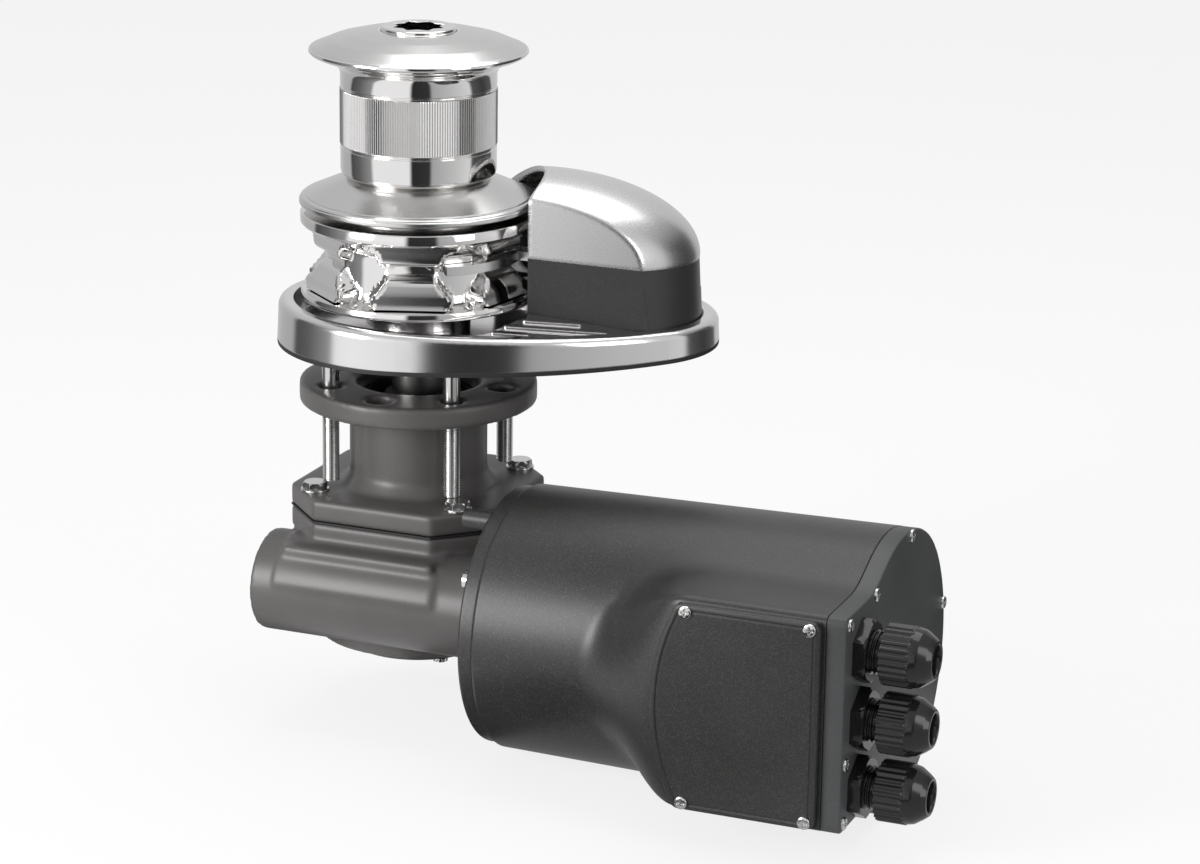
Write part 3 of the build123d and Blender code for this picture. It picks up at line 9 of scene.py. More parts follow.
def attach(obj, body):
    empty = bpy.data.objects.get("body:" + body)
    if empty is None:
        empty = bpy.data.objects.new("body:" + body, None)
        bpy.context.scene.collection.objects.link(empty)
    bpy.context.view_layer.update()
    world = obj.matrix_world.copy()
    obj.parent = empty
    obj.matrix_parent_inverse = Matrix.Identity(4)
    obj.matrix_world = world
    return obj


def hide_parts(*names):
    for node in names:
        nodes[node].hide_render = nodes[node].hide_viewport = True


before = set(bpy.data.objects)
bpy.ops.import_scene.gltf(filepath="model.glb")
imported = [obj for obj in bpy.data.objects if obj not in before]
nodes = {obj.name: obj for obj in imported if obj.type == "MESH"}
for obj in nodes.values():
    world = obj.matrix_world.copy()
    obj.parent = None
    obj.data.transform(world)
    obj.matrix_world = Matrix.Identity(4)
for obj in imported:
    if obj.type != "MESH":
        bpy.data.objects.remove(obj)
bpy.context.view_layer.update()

# Studio: a pale floor, a white surround and soft boxes overhead and at both sides.
# The camera stands before the terminal box, a little above the deck, with a long lens.
# Polished metal mirrors upright bands of light and shade that stand round the windlass.

camera_lens = 111.0
camera_sensor = 36.0
camera_reach = 20.0
camera_place = (0.6919, -1.5002, 0.4467)
camera_right = (0.92663, 0.37578, 0.01422)
camera_up = (-0.11972, 0.25892, 0.95850)
floor_height = -0.1735
floor_reach = 6.0
floor_shown_white = 0.80
floor_mirrored = 0.95
paper_dark = (0.88, 0.88, 0.885, 1)
paper_light = (0.92, 0.92, 0.92, 1)
surround_level = 0.45
overhead_colour = (0.66, 0.66, 0.67, 1)
overhead_starts, overhead_full = 0.3, 0.8
# how far round the studio, as a share of a turn, and how bright it is there
band_stops = [
    (0.000, 0.08), (0.050, 0.14), (0.112, 0.32), (0.126, 1.00), (0.280, 1.00), (0.292, 0.03), (0.362, 0.04),
    (0.374, 0.45), (0.460, 0.62), (0.540, 0.80), (0.556, 0.10), (0.620, 0.05), (0.680, 0.12), (0.694, 0.60),
    (0.820, 0.70), (0.930, 0.52), (0.985, 0.50), (1.000, 0.10),
]
# place, where it points, width and height, power
soft_boxes = {
    "light_left": ((-0.75, -1.25, 0.35), (0.08, -0.05, -0.06), (0.6, 0.7), 19.0),
    "light_overhead": ((0.1, 0.35, 1.25), (0.08, -0.05, 0.0), (1.1, 1.1), 7.0),
    "light_right": ((1.3, -0.5, 0.45), (0.1, -0.05, -0.03), (0.5, 0.9), 4.0),
}

scene = bpy.context.scene
scene.view_settings.view_transform = "Standard"
camera_data = bpy.data.cameras.new("camera")
camera_data.lens = camera_lens
camera_data.sensor_width = camera_sensor
camera_data.clip_end = camera_reach
camera = bpy.data.objects.new("camera", camera_data)
scene.collection.objects.link(camera)
right = Vector(camera_right).normalized()
back = right.cross(Vector(camera_up)).normalized()
up = back.cross(right)
camera.matrix_world = Matrix((
    (right.x, up.x, back.x, camera_place[0]),
    (right.y, up.y, back.y, camera_place[1]),
    (right.z, up.z, back.z, camera_place[2]),
    (0, 0, 0, 1),
))
scene.camera = camera


def node_adder(tree, prefix="ShaderNode"):
    """A function that adds a node to the tree and links or sets its inputs."""
    def add(kind, inputs=None, **settings):
        node = tree.nodes.new(prefix + kind)
        for key, value in settings.items():
            setattr(node, key, value)
        for key, value in (inputs or {}).items():
            if isinstance(value, bpy.types.NodeSocket):
                tree.links.new(value, node.inputs[key])
            else:
                node.inputs[key].default_value = value
        return node
    return add


def new_material(name):
    """An empty material, and a function that adds nodes to it."""
    material = bpy.data.materials.new(name)
    material.use_nodes = True
    material.node_tree.nodes.clear()
    return material, node_adder(material.node_tree)


def studio_bands(add, direction):
    """The upright bands of light, looked up by the bearing of a direction or place."""
    parts = add("SeparateXYZ", {0: direction})
    bearing = add("Math", {0: parts.outputs["Y"], 1: parts.outputs["X"]}, operation="ARCTAN2")
    turn = add("MapRange", {0: bearing.outputs[0], 1: -pi, 2: pi})
    bands = add("ValToRGB", {"Fac": turn.outputs[0]})
    for stop, level in band_stops[1:-1]:
        bands.color_ramp.elements.new(stop)
    for element, (stop, level) in zip(bands.color_ramp.elements, band_stops):
        element.position = stop
        element.color = (level, level, level * 1.01, 1)
    return bands.outputs["Color"], parts.outputs["Z"]


floor_material, add = new_material("floor_paper")
place = add("TexCoord")
grain = add("TexNoise", {"Vector": place.outputs["Object"], "Scale": 6.0, "Detail": 3.0})
tone = add("ValToRGB", {"Fac": grain.outputs["Fac"]})
tone.color_ramp.elements[0].color = paper_dark
tone.color_ramp.elements[1].color = paper_light
paper = add("BsdfDiffuse", {"Color": tone.outputs["Color"]})
white = add("Emission", {"Color": (1, 1, 1, 1), "Strength": 1.0})
path = add("LightPath")
share = add("Math", {0: path.outputs["Is Camera Ray"], 1: floor_shown_white}, operation="MULTIPLY")
seen = add("MixShader", {0: share.outputs[0], 1: paper.outputs[0], 2: white.outputs[0]})
band_colour, height = studio_bands(add, place.outputs["Object"])
mirrored = add("Emission", {"Color": band_colour, "Strength": floor_mirrored})
mixed = add("MixShader", {0: path.outputs["Is Glossy Ray"], 1: seen.outputs[0], 2: mirrored.outputs[0]})
add("OutputMaterial", {"Surface": mixed.outputs[0]})

floor_mesh = bpy.data.meshes.new("floor")
floor_corners = []
for i, j in ((-1, -1), (1, -1), (1, 1), (-1, 1)):
    floor_corners.append((i * floor_reach, j * floor_reach, floor_height))
floor_mesh.from_pydata(floor_corners, [], [(0, 1, 2, 3)])
floor_mesh.materials.append(floor_material)
floor = bpy.data.objects.new("floor", floor_mesh)
scene.collection.objects.link(floor)

world = bpy.data.worlds.new("studio")
scene.world = world
world.use_nodes = True
world.node_tree.nodes.clear()
add = node_adder(world.node_tree)
direction = add("TexCoord")
band_colour, height = studio_bands(add, direction.outputs["Generated"])
above = add("MapRange", {0: height, 1: overhead_starts, 2: overhead_full})
overhead = add("MixRGB", {0: above.outputs[0], 1: band_colour, 2: overhead_colour})
light_path = add("LightPath")
mirrored = add("Background", {"Color": overhead.outputs["Color"], "Strength": 1.0})
soft = add("Background", {"Color": (1, 1, 1, 1), "Strength": surround_level})
backdrop = add("Background", {"Color": (1, 1, 1, 1), "Strength": 1.0})
lit = add("MixShader", {0: light_path.outputs["Is Glossy Ray"], 1: soft.outputs[0], 2: mirrored.outputs[0]})
final = add("MixShader", {0: light_path.outputs["Is Camera Ray"], 1: lit.outputs[0], 2: backdrop.outputs[0]})
add("OutputWorld", {"Surface": final.outputs[0]})

for name, (place, aim, size, power) in soft_boxes.items():
    data = bpy.data.lights.new(name, "AREA")
    data.shape = "RECTANGLE"
    data.size, data.size_y = size
    data.energy = power
    lamp = bpy.data.objects.new(name, data)
    lamp.location = place
    lamp.rotation_euler = (Vector(aim) - Vector(place)).to_track_quat("-Z", "Y").to_euler()
    scene.collection.objects.link(lamp)

# Deck base: a cast stainless base, polished all over, with a ramp and rubbing ribs under the chain.
# Rubber seals it to the deck, a bronze bush and lip seals guide the shaft, and a steel stripper
# that two screws hold lifts the chain off the gypsy.

base_colour = (0.78, 0.77, 0.77)
bare_steel_colour = (0.70, 0.695, 0.685)
fixings_colour = (0.68, 0.68, 0.67)
bronze_colour = (0.62, 0.42, 0.2)
rubber_colour = (0.014, 0.014, 0.014)
speck_colour = (0.30, 0.30, 0.29, 1)


def finish_metal(name, colour, gloss, spread=0.03, grain_depth=0.006, edge=0.0003):
    """Bare metal with faint grain, slight changes of gloss and edges that catch the light."""
    material, add = new_material(name)
    place = add("TexCoord")
    stretch = add("Mapping", {"Vector": place.outputs["Object"], "Scale": (40, 40, 160)})
    lines = add("TexNoise", {"Vector": stretch.outputs[0], "Scale": 10.0, "Detail": 5.0})
    wide = add("TexNoise", {"Vector": place.outputs["Object"], "Scale": 30.0, "Detail": 3.0})
    tone = add("ValToRGB", {"Fac": wide.outputs["Fac"]})
    tone.color_ramp.elements[0].color = tuple(0.94 * c for c in colour) + (1,)
    tone.color_ramp.elements[1].color = tuple(min(1.04 * c, 1) for c in colour) + (1,)
    rough = add("MapRange", {0: lines.outputs["Fac"], 3: max(gloss - spread, 0.02), 4: gloss + spread})
    edges = add("Bevel", {"Radius": edge}, samples=4)
    grain = add("Bump", {"Height": lines.outputs["Fac"], "Strength": 0.3, "Distance": grain_depth * 0.001,
                         "Normal": edges.outputs[0]})
    shader = add("BsdfPrincipled", {
        "Base Color": tone.outputs["Color"], "Roughness": rough.outputs[0], "Normal": grain.outputs[0],
        "Metallic": 1.0,
    })
    add("OutputMaterial", {"Surface": shader.outputs[0]})
    return material


def finish_paint(name, colour, gloss, speck=0.0, speck_size=2600.0, grain_depth=0.03, edge=0.0008,
                 metallic=0.0):
    """Paint, rubber or moulded plastic: slight tone changes, fine specks, a fine grain and soft edges."""
    material, add = new_material(name)
    place = add("TexCoord")
    wide = add("TexNoise", {"Vector": place.outputs["Object"], "Scale": 22.0, "Detail": 4.0})
    fine = add("TexNoise", {"Vector": place.outputs["Object"], "Scale": speck_size, "Detail": 2.0})
    tone = add("ValToRGB", {"Fac": wide.outputs["Fac"]})
    tone.color_ramp.elements[0].position = 0.3
    tone.color_ramp.elements[1].position = 0.7
    tone.color_ramp.elements[0].color = tuple(0.86 * c for c in colour) + (1,)
    tone.color_ramp.elements[1].color = tuple(1.1 * c for c in colour) + (1,)
    dots = add("ValToRGB", {"Fac": fine.outputs["Fac"]})
    dots.color_ramp.elements[0].position = 0.55
    dots.color_ramp.elements[1].position = 0.72
    strength = add("Math", {0: dots.outputs["Color"], 1: speck}, operation="MULTIPLY")
    colours = add("MixRGB", {0: strength.outputs[0], 1: tone.outputs["Color"], 2: speck_colour})
    rough = add("MapRange", {0: wide.outputs["Fac"], 3: gloss - 0.04, 4: gloss + 0.06})
    edges = add("Bevel", {"Radius": edge}, samples=4)
    grain = add("Bump", {"Height": fine.outputs["Fac"], "Strength": 0.35, "Distance": grain_depth * 0.001,
                         "Normal": edges.outputs[0]})
    shader = add("BsdfPrincipled", {
        "Base Color": colours.outputs["Color"], "Roughness": rough.outputs[0], "Normal": grain.outputs[0],
        "Metallic": metallic,
    })
    add("OutputMaterial", {"Surface": shader.outputs[0]})
    return material


def finish_nodes(material, *names):
    """Give the material to the solids of these names."""
    for name in names:
        mesh = nodes[name].data
        mesh.materials.clear()
        mesh.materials.append(material)


base_steel = finish_metal("base_steel", base_colour, 0.15, 0.02, 0.004, 0.0008)
satin_steel = finish_metal("satin_steel", bare_steel_colour, 0.24, 0.03, 0.012)
bright_fixings = finish_metal("bright_fixings", fixings_colour, 0.17, 0.03, 0.006)
bronze = finish_metal("bronze", bronze_colour, 0.28)
rubber = finish_paint("rubber", rubber_colour, 0.55, 0.0, 1500.0, 0.02, 0.0003)
finish_nodes(base_steel, "deck_base")
finish_nodes(satin_steel, "chain_stripper")
finish_nodes(bright_fixings, "base_screws")
finish_nodes(bronze, "base_bush")
finish_nodes(rubber, "base_gasket", "oil_seals")

# Deck studs: four M8 studs with a plain shank under the base and a rolled thread on the lower part.
# They are stainless steel, screwed into the base, and pass through the gearbox flange.
# One geometry tree makes a ribbed rod: ribs count around it, or one rib that winds as a thread.

stud_offset = 30.4056
stud_radius = 4.0
stud_length = 63.0
stud_top = 1.5
stud_sides = 40
thread_length = 34.0
thread_pitch = 1.25
thread_depth = 0.62
thread_overlap = 0.2


def ribbed_rod_tree():
    """Closed rods at the points of the mesh, along Z, with a cosine rib pattern on their side."""
    tree = bpy.data.node_groups.new("ribbed_rod", "GeometryNodeTree")
    sockets = {}
    for name, kind in (("Geometry", "Geometry"), ("Radius", "Float"), ("Length", "Float"), ("Ribs", "Float"),
                       ("Twist", "Float"), ("Depth", "Float"), ("Sides", "Int"), ("Steps", "Int"),
                       ("Turn", "Vector"), ("Material", "Material")):
        socket = tree.interface.new_socket(name, in_out="INPUT", socket_type="NodeSocket" + kind)
        sockets[name] = socket.identifier
    tree.interface.new_socket("Geometry", in_out="OUTPUT", socket_type="NodeSocketGeometry")
    add = node_adder(tree, "")
    given = add("NodeGroupInput").outputs
    result = add("NodeGroupOutput")
    rod = add("GeometryNodeMeshCylinder", {
        "Vertices": given["Sides"], "Side Segments": given["Steps"], "Radius": given["Radius"],
        "Depth": given["Length"],
    })
    place = add("GeometryNodeInputPosition")
    parts = add("ShaderNodeSeparateXYZ", {0: place.outputs[0]})
    bearing = add("ShaderNodeMath", {0: parts.outputs["Y"], 1: parts.outputs["X"]}, operation="ARCTAN2")
    around = add("ShaderNodeMath", {0: bearing.outputs[0], 1: given["Ribs"]}, operation="MULTIPLY")
    phase = add("ShaderNodeMath", {0: parts.outputs["Z"], 1: given["Twist"], 2: around.outputs[0]},
                operation="MULTIPLY_ADD")
    wave = add("ShaderNodeMath", {0: phase.outputs[0]}, operation="COSINE")
    half = add("ShaderNodeMath", {0: given["Depth"], 1: -0.5}, operation="MULTIPLY")
    sunk = add("ShaderNodeMath", {0: wave.outputs[0], 1: half.outputs[0], 2: half.outputs[0]},
               operation="MULTIPLY_ADD")
    share = add("ShaderNodeMath", {0: sunk.outputs[0], 1: given["Radius"]}, operation="DIVIDE")
    flat = add("ShaderNodeCombineXYZ", {"X": parts.outputs["X"], "Y": parts.outputs["Y"]})
    shift = add("ShaderNodeVectorMath", {0: flat.outputs[0], "Scale": share.outputs[0]}, operation="SCALE")
    ribbed = add("GeometryNodeSetPosition", {"Geometry": rod.outputs["Mesh"], "Offset": shift.outputs[0]})
    copies = add("GeometryNodeInstanceOnPoints", {
        "Points": given["Geometry"], "Instance": ribbed.outputs[0], "Rotation": given["Turn"],
    })
    real = add("GeometryNodeRealizeInstances", {0: copies.outputs[0]})
    finished = add("GeometryNodeSetMaterial", {"Geometry": real.outputs[0], "Material": given["Material"]})
    tree.links.new(finished.outputs[0], result.inputs[0])
    return tree, sockets


rod_tree, rod_sockets = ribbed_rod_tree()


def ribbed_rods(name, places, radius, length, ribs, twist, depth, sides, steps, turn, material, smooth):
    """Ribbed rods with their middles at places in millimetres, as one finished mesh."""
    mesh = bpy.data.meshes.new(name)
    mesh.from_pydata([(x / 1000, y / 1000, z / 1000) for x, y, z in places], [], [])
    obj = bpy.data.objects.new(name, mesh)
    scene.collection.objects.link(obj)
    modifier = obj.modifiers.new("rods", "NODES")
    modifier.node_group = rod_tree
    values = {"Radius": radius / 1000, "Length": length / 1000, "Ribs": float(ribs), "Twist": float(twist),
              "Depth": depth / 1000, "Sides": sides, "Steps": steps, "Turn": turn, "Material": material}
    for key, value in values.items():
        modifier[rod_sockets[key]] = value
    bpy.context.view_layer.update()
    seen = obj.evaluated_get(bpy.context.evaluated_depsgraph_get())
    real = bpy.data.meshes.new_from_object(seen)
    obj.modifiers.clear()
    obj.data = real
    real.materials.clear()
    real.materials.append(material)
    real.shade_smooth()
    real.set_sharp_from_angle(angle=radians(smooth))
    return obj


def solid_mesh(name, points, faces, material, smooth=35.0):
    """A mesh from points in millimetres, with outward faces and its edges sharp only above an angle."""
    mesh = bpy.data.meshes.new(name)
    mesh.from_pydata([(x / 1000, y / 1000, z / 1000) for x, y, z in points], [], faces)
    shape = bmesh.new()
    shape.from_mesh(mesh)
    bmesh.ops.remove_doubles(shape, verts=shape.verts, dist=1e-6)
    bmesh.ops.recalc_face_normals(shape, faces=shape.faces)
    shape.to_mesh(mesh)
    shape.free()
    mesh.materials.append(material)
    mesh.shade_smooth()
    mesh.set_sharp_from_angle(angle=radians(smooth))
    obj = bpy.data.objects.new(name, mesh)
    scene.collection.objects.link(obj)
    return obj


def skin(rings, closed):
    """Points and faces over rings of equally many points. A closed skin joins its last ring to the first."""
    count = len(rings[0])
    points = [point for ring in rings for point in ring]
    faces = []
    for i in range(len(rings) if closed else len(rings) - 1):
        a, b = i * count, (i + 1) % len(rings) * count
        for j in range(count):
            k = (j + 1) % count
            faces.append((a + j, a + k, b + k, b + j))
    if not closed:
        faces.append(tuple(range(count)))
        faces.append(tuple(len(points) - 1 - i for i in range(count)))
    return points, faces


def turned_rings(profile, count, to_place=None):
    """A ring of points for each radius and height pair, about Z or wherever to_place puts them."""
    rings = []
    for radius, height in profile:
        ring = []
        for j in range(count):
            turn = 2 * pi * j / count
            point = (radius * cos(turn), radius * sin(turn), height)
            ring.append(to_place(point) if to_place else point)
        rings.append(ring)
    return rings


def rounded(corners):
    """A closed outline with arcs at corners that give a rounding: (across, up, rounding)."""
    outline = []
    count = len(corners)
    for i, (x, y, size) in enumerate(corners):
        if not size:
            outline.append((x, y))
            continue
        before, after = corners[i - 1], corners[(i + 1) % count]
        a = Vector((before[0] - x, before[1] - y)).normalized()
        b = Vector((after[0] - x, after[1] - y)).normalized()
        half = a.angle(b) / 2
        reach = size / max(abs(sin(half) / cos(half)), 1e-6)
        centre = Vector((x, y)) + (a + b).normalized() * (size / sin(half))
        start, end = Vector((x, y)) + a * reach - centre, Vector((x, y)) + b * reach - centre
        for step in range(6):
            arm = start.lerp(end, step / 5).normalized() * size
            outline.append((centre.x + arm.x, centre.y + arm.y))
    return outline


def moved(x, y, z=0.0):
    """A function that moves a point by x, y and z."""
    def to_place(point):
        return (point[0] + x, point[1] + y, point[2] + z)
    return to_place


def joined(name, objects):
    """One object from several, with their finishes kept."""
    shape = bmesh.new()
    mesh = bpy.data.meshes.new(name)
    for other in objects:
        names = [material.name for material in mesh.materials]
        start = len(shape.faces)
        shape.from_mesh(other.data)
        shape.faces.ensure_lookup_table()
        material = other.data.materials[0]
        if material.name not in names:
            mesh.materials.append(material)
            names.append(material.name)
        for face in shape.faces[start:]:
            face.material_index = names.index(material.name)
    shape.to_mesh(mesh)
    shape.free()
    obj = bpy.data.objects.new(name, mesh)
    scene.collection.objects.link(obj)
    for other in objects:
        bpy.data.objects.remove(other, do_unlink=True)
    return obj


def dress(obj, body, node):
    """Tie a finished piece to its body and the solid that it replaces."""
    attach(obj, body)
    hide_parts(node)


finish_nodes(bright_fixings, "deck_studs")
stud_places = [(i * stud_offset, j * stud_offset) for i in (-1, 1) for j in (-1, 1)]
thread_middle = -stud_length + thread_length / 2
threads = ribbed_rods("stud_threads", [(x, y, thread_middle) for x, y in stud_places], stud_radius,
                      thread_length, 1, -2000 * pi / thread_pitch, thread_depth, 28, 240, (0, 0, 0),
                      bright_fixings, 60)
shank_low = -stud_length + thread_length - thread_overlap
shank_profile = [(0, shank_low), (stud_radius, shank_low), (stud_radius, stud_top), (0, stud_top)]
shanks = []
for x, y in stud_places:
    points, faces = skin(turned_rings(shank_profile, stud_sides, moved(x, y)), True)
    shanks.append(solid_mesh("shank", points, faces, bright_fixings))
studs = joined("studs", [threads] + shanks)
dress(studs, "housing", "deck_studs")

# Gearbox castings: the flange, neck and plate above, and the housing with its worm tube below.
# Both are painted sand castings with rounded edges, clamped on a gasket, with a cover underneath
# and a plug at the worm's end. Their solids are re-meshed finely and smoothed.

casting_colour = (0.088, 0.083, 0.081)
casting_grid = 0.0011
casting_rounds = 7

gear_casting = finish_paint("gear_casting", casting_colour, 0.38, 0.10, 2200.0, 0.06, 0.0016)
finish_nodes(gear_casting, "gearbox_top", "gearbox_body", "bottom_cover", "worm_end_plug")
finish_nodes(rubber, "gearbox_gasket")
finish_nodes(bright_fixings, "bottom_cover_screws")
for name in ("gearbox_top", "gearbox_body"):
    casting = nodes[name]
    grid = casting.modifiers.new("grid", "REMESH")
    grid.mode = "VOXEL"
    grid.voxel_size = casting_grid
    grid.use_smooth_shade = True
    rounding = casting.modifiers.new("rounding", "SMOOTH")
    rounding.factor = 0.5
    rounding.iterations = casting_rounds

# Gearbox bolts: four M6 hexagon bolts with washers at the corners of the plate.
# They are plated steel, their heads are chamfered, and they clamp the two castings on their gasket.

bolt_offset = 36.0
plate_top = -67.5
washer_radius = 6.6
washer_height = 1.1
washer_round = 0.3
head_flats = 10.0
head_corner = 6.0
head_top = -63.3
head_chamfer = 0.7
head_top_radius = 5.0
head_face_radius = 4.4
head_seat_radius = 4.9
head_sides = 72


def hexagon_radius(flats, turn):
    """Distance from a hexagon's middle to its side, in a direction in radians."""
    return flats / 2 / cos((turn + pi / 6) % (pi / 3) - pi / 6)


def hexagon_rings(flats, levels, count, to_place):
    """Rings round a hexagon, each cut to a round limit: (round limit, height)."""
    rings = []
    for limit, height in levels:
        ring = []
        for j in range(count):
            turn = 2 * pi * j / count
            radius = min(hexagon_radius(flats, turn), limit)
            ring.append(to_place((radius * cos(turn), radius * sin(turn), height)))
        rings.append(ring)
    return rings


finish_nodes(bright_fixings, "gearbox_bolts")
head_seat = plate_top + washer_height
washer_profile = rounded([
    (0, plate_top, 0), (washer_radius, plate_top, 0), (washer_radius, head_seat, washer_round),
    (0, head_seat, 0),
])
head_levels = [
    (head_seat_radius, head_seat), (head_corner, head_seat + 0.2), (head_corner, head_top - head_chamfer),
    (head_top_radius, head_top), (head_face_radius, head_top),
]
bolts = []
for x, y in [(i * bolt_offset, j * bolt_offset) for i in (-1, 1) for j in (-1, 1)]:
    points, faces = skin(turned_rings(washer_profile, 48, moved(x, y)), True)
    bolts.append(solid_mesh("washer", points, faces, bright_fixings))
    points, faces = skin(hexagon_rings(head_flats, head_levels, head_sides, moved(x, y)), False)
    bolts.append(solid_mesh("head", points, faces, bright_fixings))
plate_bolts = joined("plate_bolts", bolts)
dress(plate_bolts, "housing", "gearbox_bolts")

# Gear train: a steel worm in ball bearings turns a bronze wheel on the main shaft.
# Keys and circlips hold the wheel, and all of it runs in oil inside the castings.

inner_steel_colour = (0.5, 0.5, 0.5)

inner_steel = finish_metal("inner_steel", inner_steel_colour, 0.28)
finish_nodes(inner_steel, "worm_shaft", "worm_bearing_outers", "worm_bearing_inners", "worm_bearing_balls")
finish_nodes(inner_steel, "shaft_bearing_outers", "shaft_bearing_inners", "shaft_bearing_balls", "shaft_keys",
             "shaft_circlips")
finish_nodes(bronze, "worm_wheel")
finish_nodes(satin_steel, "main_shaft")

# Motor: a drawn steel can with magnets inside, a wound armature and brushes at its far end.
# It is screwed to the gearbox by its flange, and long rods tie its rear shield to it.

can_colour = (0.2, 0.2, 0.21)
magnet_colour = (0.05, 0.05, 0.05)
copper_colour = (0.72, 0.33, 0.16)
hood_paint_colour = (0.020, 0.020, 0.0195)

can_steel = finish_paint("can_steel", can_colour, 0.4, metallic=0.6)
magnet = finish_paint("magnet", magnet_colour, 0.6)
copper = finish_metal("copper", copper_colour, 0.35)
cover_paint = finish_paint("cover_paint", hood_paint_colour, 0.37, 0.22, 2400.0, 0.07, 0.0008)
finish_nodes(can_steel, "motor_can", "motor_rear_shield")
finish_nodes(magnet, "motor_magnets", "brushes")
finish_nodes(copper, "armature_windings", "commutator")
finish_nodes(inner_steel, "armature_core", "motor_tie_rods")
finish_nodes(bright_fixings, "motor_flange_screws")
finish_nodes(cover_paint, "motor_flange")

# Motor cover: a painted, slightly widening round hood whose front swells into the terminal box.
# The swell is one smooth S-shaped sweep out of the round, and starts later at the box's corners.

motor_y = -45.0
motor_z = -110.0
cover_left = 73.0
cover_right = 243.3
cap_right = 252.0
left_radius = 60.0
right_radius = 63.0
cover_wall = 3.0
box_reach = 81.0
box_top = 49.5
box_low = 46.5
swell_start = 124.0
swell_length = 46.0
swell_bow = 11.0
swell_step = 1.5
shoulder_blend = 9.0
corner_blend = 5.0
cover_sides = 320


def soft_least(a, b, blend):
    """The lesser of two values, with a smooth change from one to the other."""
    overlap = max(blend - abs(a - b), 0)
    return min(a, b) - overlap * overlap / (4 * blend)


def soft_most(a, b, blend):
    return -soft_least(-a, -b, blend)


def hood_reach(x, turn):
    """Distance from the motor's axis to the hood: turn is 0 at the front and a quarter upwards."""
    round_part = left_radius + (right_radius - left_radius) * (x - cover_left) / (cap_right - cover_left)
    front, rise = cos(turn), sin(turn)
    if front <= 0.02:
        return round_part
    spread = min(abs(rise / front) * box_reach / box_top, 1)
    share = min(max((x - swell_start - swell_bow * spread * spread) / swell_length, 0), 1)
    share = share * share * (3 - 2 * share)
    limit = (box_top if rise > 0 else box_low) / max(abs(rise), 0.001)
    box_part = soft_least(box_reach / front, limit, corner_blend)
    return round_part + (soft_most(round_part, box_part, shoulder_blend) - round_part) * share


def hood_ring(x, inset):
    ring = []
    for j in range(cover_sides):
        turn = 2 * pi * j / cover_sides
        reach = hood_reach(x, turn) - inset
        ring.append((x, motor_y - reach * cos(turn), motor_z + reach * sin(turn)))
    return ring


finish_nodes(cover_paint, "motor_cover")
steps = [cover_left + 2 + 6 * i for i in range(8)]
steps += [swell_start + swell_step * i for i in range(44)]
steps += [195, 205, 215, 225, 235, cover_right]
# a rounded left edge, then the outside, then the inside back to the left
rings = [hood_ring(cover_left, 1.4), hood_ring(cover_left + 0.4, 0.5), hood_ring(cover_left + 1.4, 0)]
rings += [hood_ring(x, 0) for x in steps]
rings += [hood_ring(x, cover_wall) for x in reversed([cover_left] + steps[::3] + [cover_right])]
points, faces = skin(rings, True)
hood = solid_mesh("motor_hood", points, faces, cover_paint, 40)
dress(hood, "housing", "motor_cover")

# End cap: a flat grey cast plate that closes the hood, held by small pan-head screws round its edge.
# The screws are plated steel with cross recesses, as those of the terminal box's lid are.

end_plate_colour = (0.050, 0.052, 0.053)
cap_left = 243.6
cap_plate = 4.0
cap_screw_radius = 2.9
cap_screw_height = 1.2
cap_screw_sunk = 0.05
cap_screws_at = [
    (-37.95, -50.0), (-86.0, -61.9), (13.97, -96.9), (-5.8, -155.9), (-121, -64.5), (-121, -126.2),
    (-121, -152.5),
]
recess_reach = 0.62
recess_half = 0.17
# share of the radius, share of the height, and whether the ring follows the cross
pan_levels = [(1, 0, 0), (1, 0.45, 0), (0.93, 0.8, 0), (0.78, 1, 0), (1, 1.0, 1), (0.85, 0.35, 1)]

end_plate = finish_paint("end_plate", end_plate_colour, 0.45, 0.10, 2600.0, 0.05, 0.0008)
finish_nodes(end_plate, "end_cap")
finish_nodes(bright_fixings, "end_cap_screws")
rings = [
    hood_ring(cap_right - cap_plate, cover_wall), hood_ring(cap_left, cover_wall), hood_ring(cap_left, 0.1),
    hood_ring(cap_right - 1.0, 0.1), hood_ring(cap_right - 0.3, 0.45), hood_ring(cap_right, 1.2),
]
points, faces = skin(rings, False)
cap = solid_mesh("end_plate", points, faces, end_plate, 35)
dress(cap, "housing", "end_cap")


def cross_head(radius, height, to_place):
    """A pan head with a cross recess, along Z before to_place puts it on its seat."""
    rings = []
    for share, level, recess in pan_levels:
        ring = []
        for j in range(48):
            turn = 2 * pi * j / 48
            near = (turn + pi / 4) % (pi / 2) - pi / 4
            reach = radius
            if recess:
                reach *= min(recess_reach / cos(near), recess_half / max(abs(sin(near)), 0.05))
            ring.append(to_place((share * reach * cos(turn), share * reach * sin(turn), level * height)))
        rings.append(ring)
    points, faces = skin(rings, False)
    return solid_mesh("pan_head", points, faces, bright_fixings, 30)


def on_cap(y, z, sunk=0.0):
    """A function that stands a point on the end cap at y and z, sunk a little in its face."""
    def to_place(point):
        return (cap_right - sunk + point[2], y + point[0], z + point[1])
    return to_place


cap_heads = []
for y, z in cap_screws_at:
    cap_heads.append(cross_head(cap_screw_radius, cap_screw_height, on_cap(y, z, cap_screw_sunk)))
cap_screws = joined("cap_screws", cap_heads)
dress(cap_screws, "housing", "end_cap_screws")

# Terminal box: two bronze studs on a moulded block take the motor's cables behind a plain lid.
# The lid has a bowed left side, a raised border and a fine groove inside it, and four pan-head
# screws hold it at the corners on its gasket.

block_plastic_colour = (0.026, 0.026, 0.026)
lid_left = 178.0
lid_bow = 167.0
lid_right = 242.0
lid_top = -62.5
lid_low = -154.5
lid_front = -130.0
lid_corner = 4.5
lid_screw_radius = 2.9
lid_screw_height = 1.25
lid_screw_sunk = 0.1
lid_screws_at = [(x, z) for x in (182.5, 237.5) for z in (-65.75, -151.25)]
bow_steps = 24
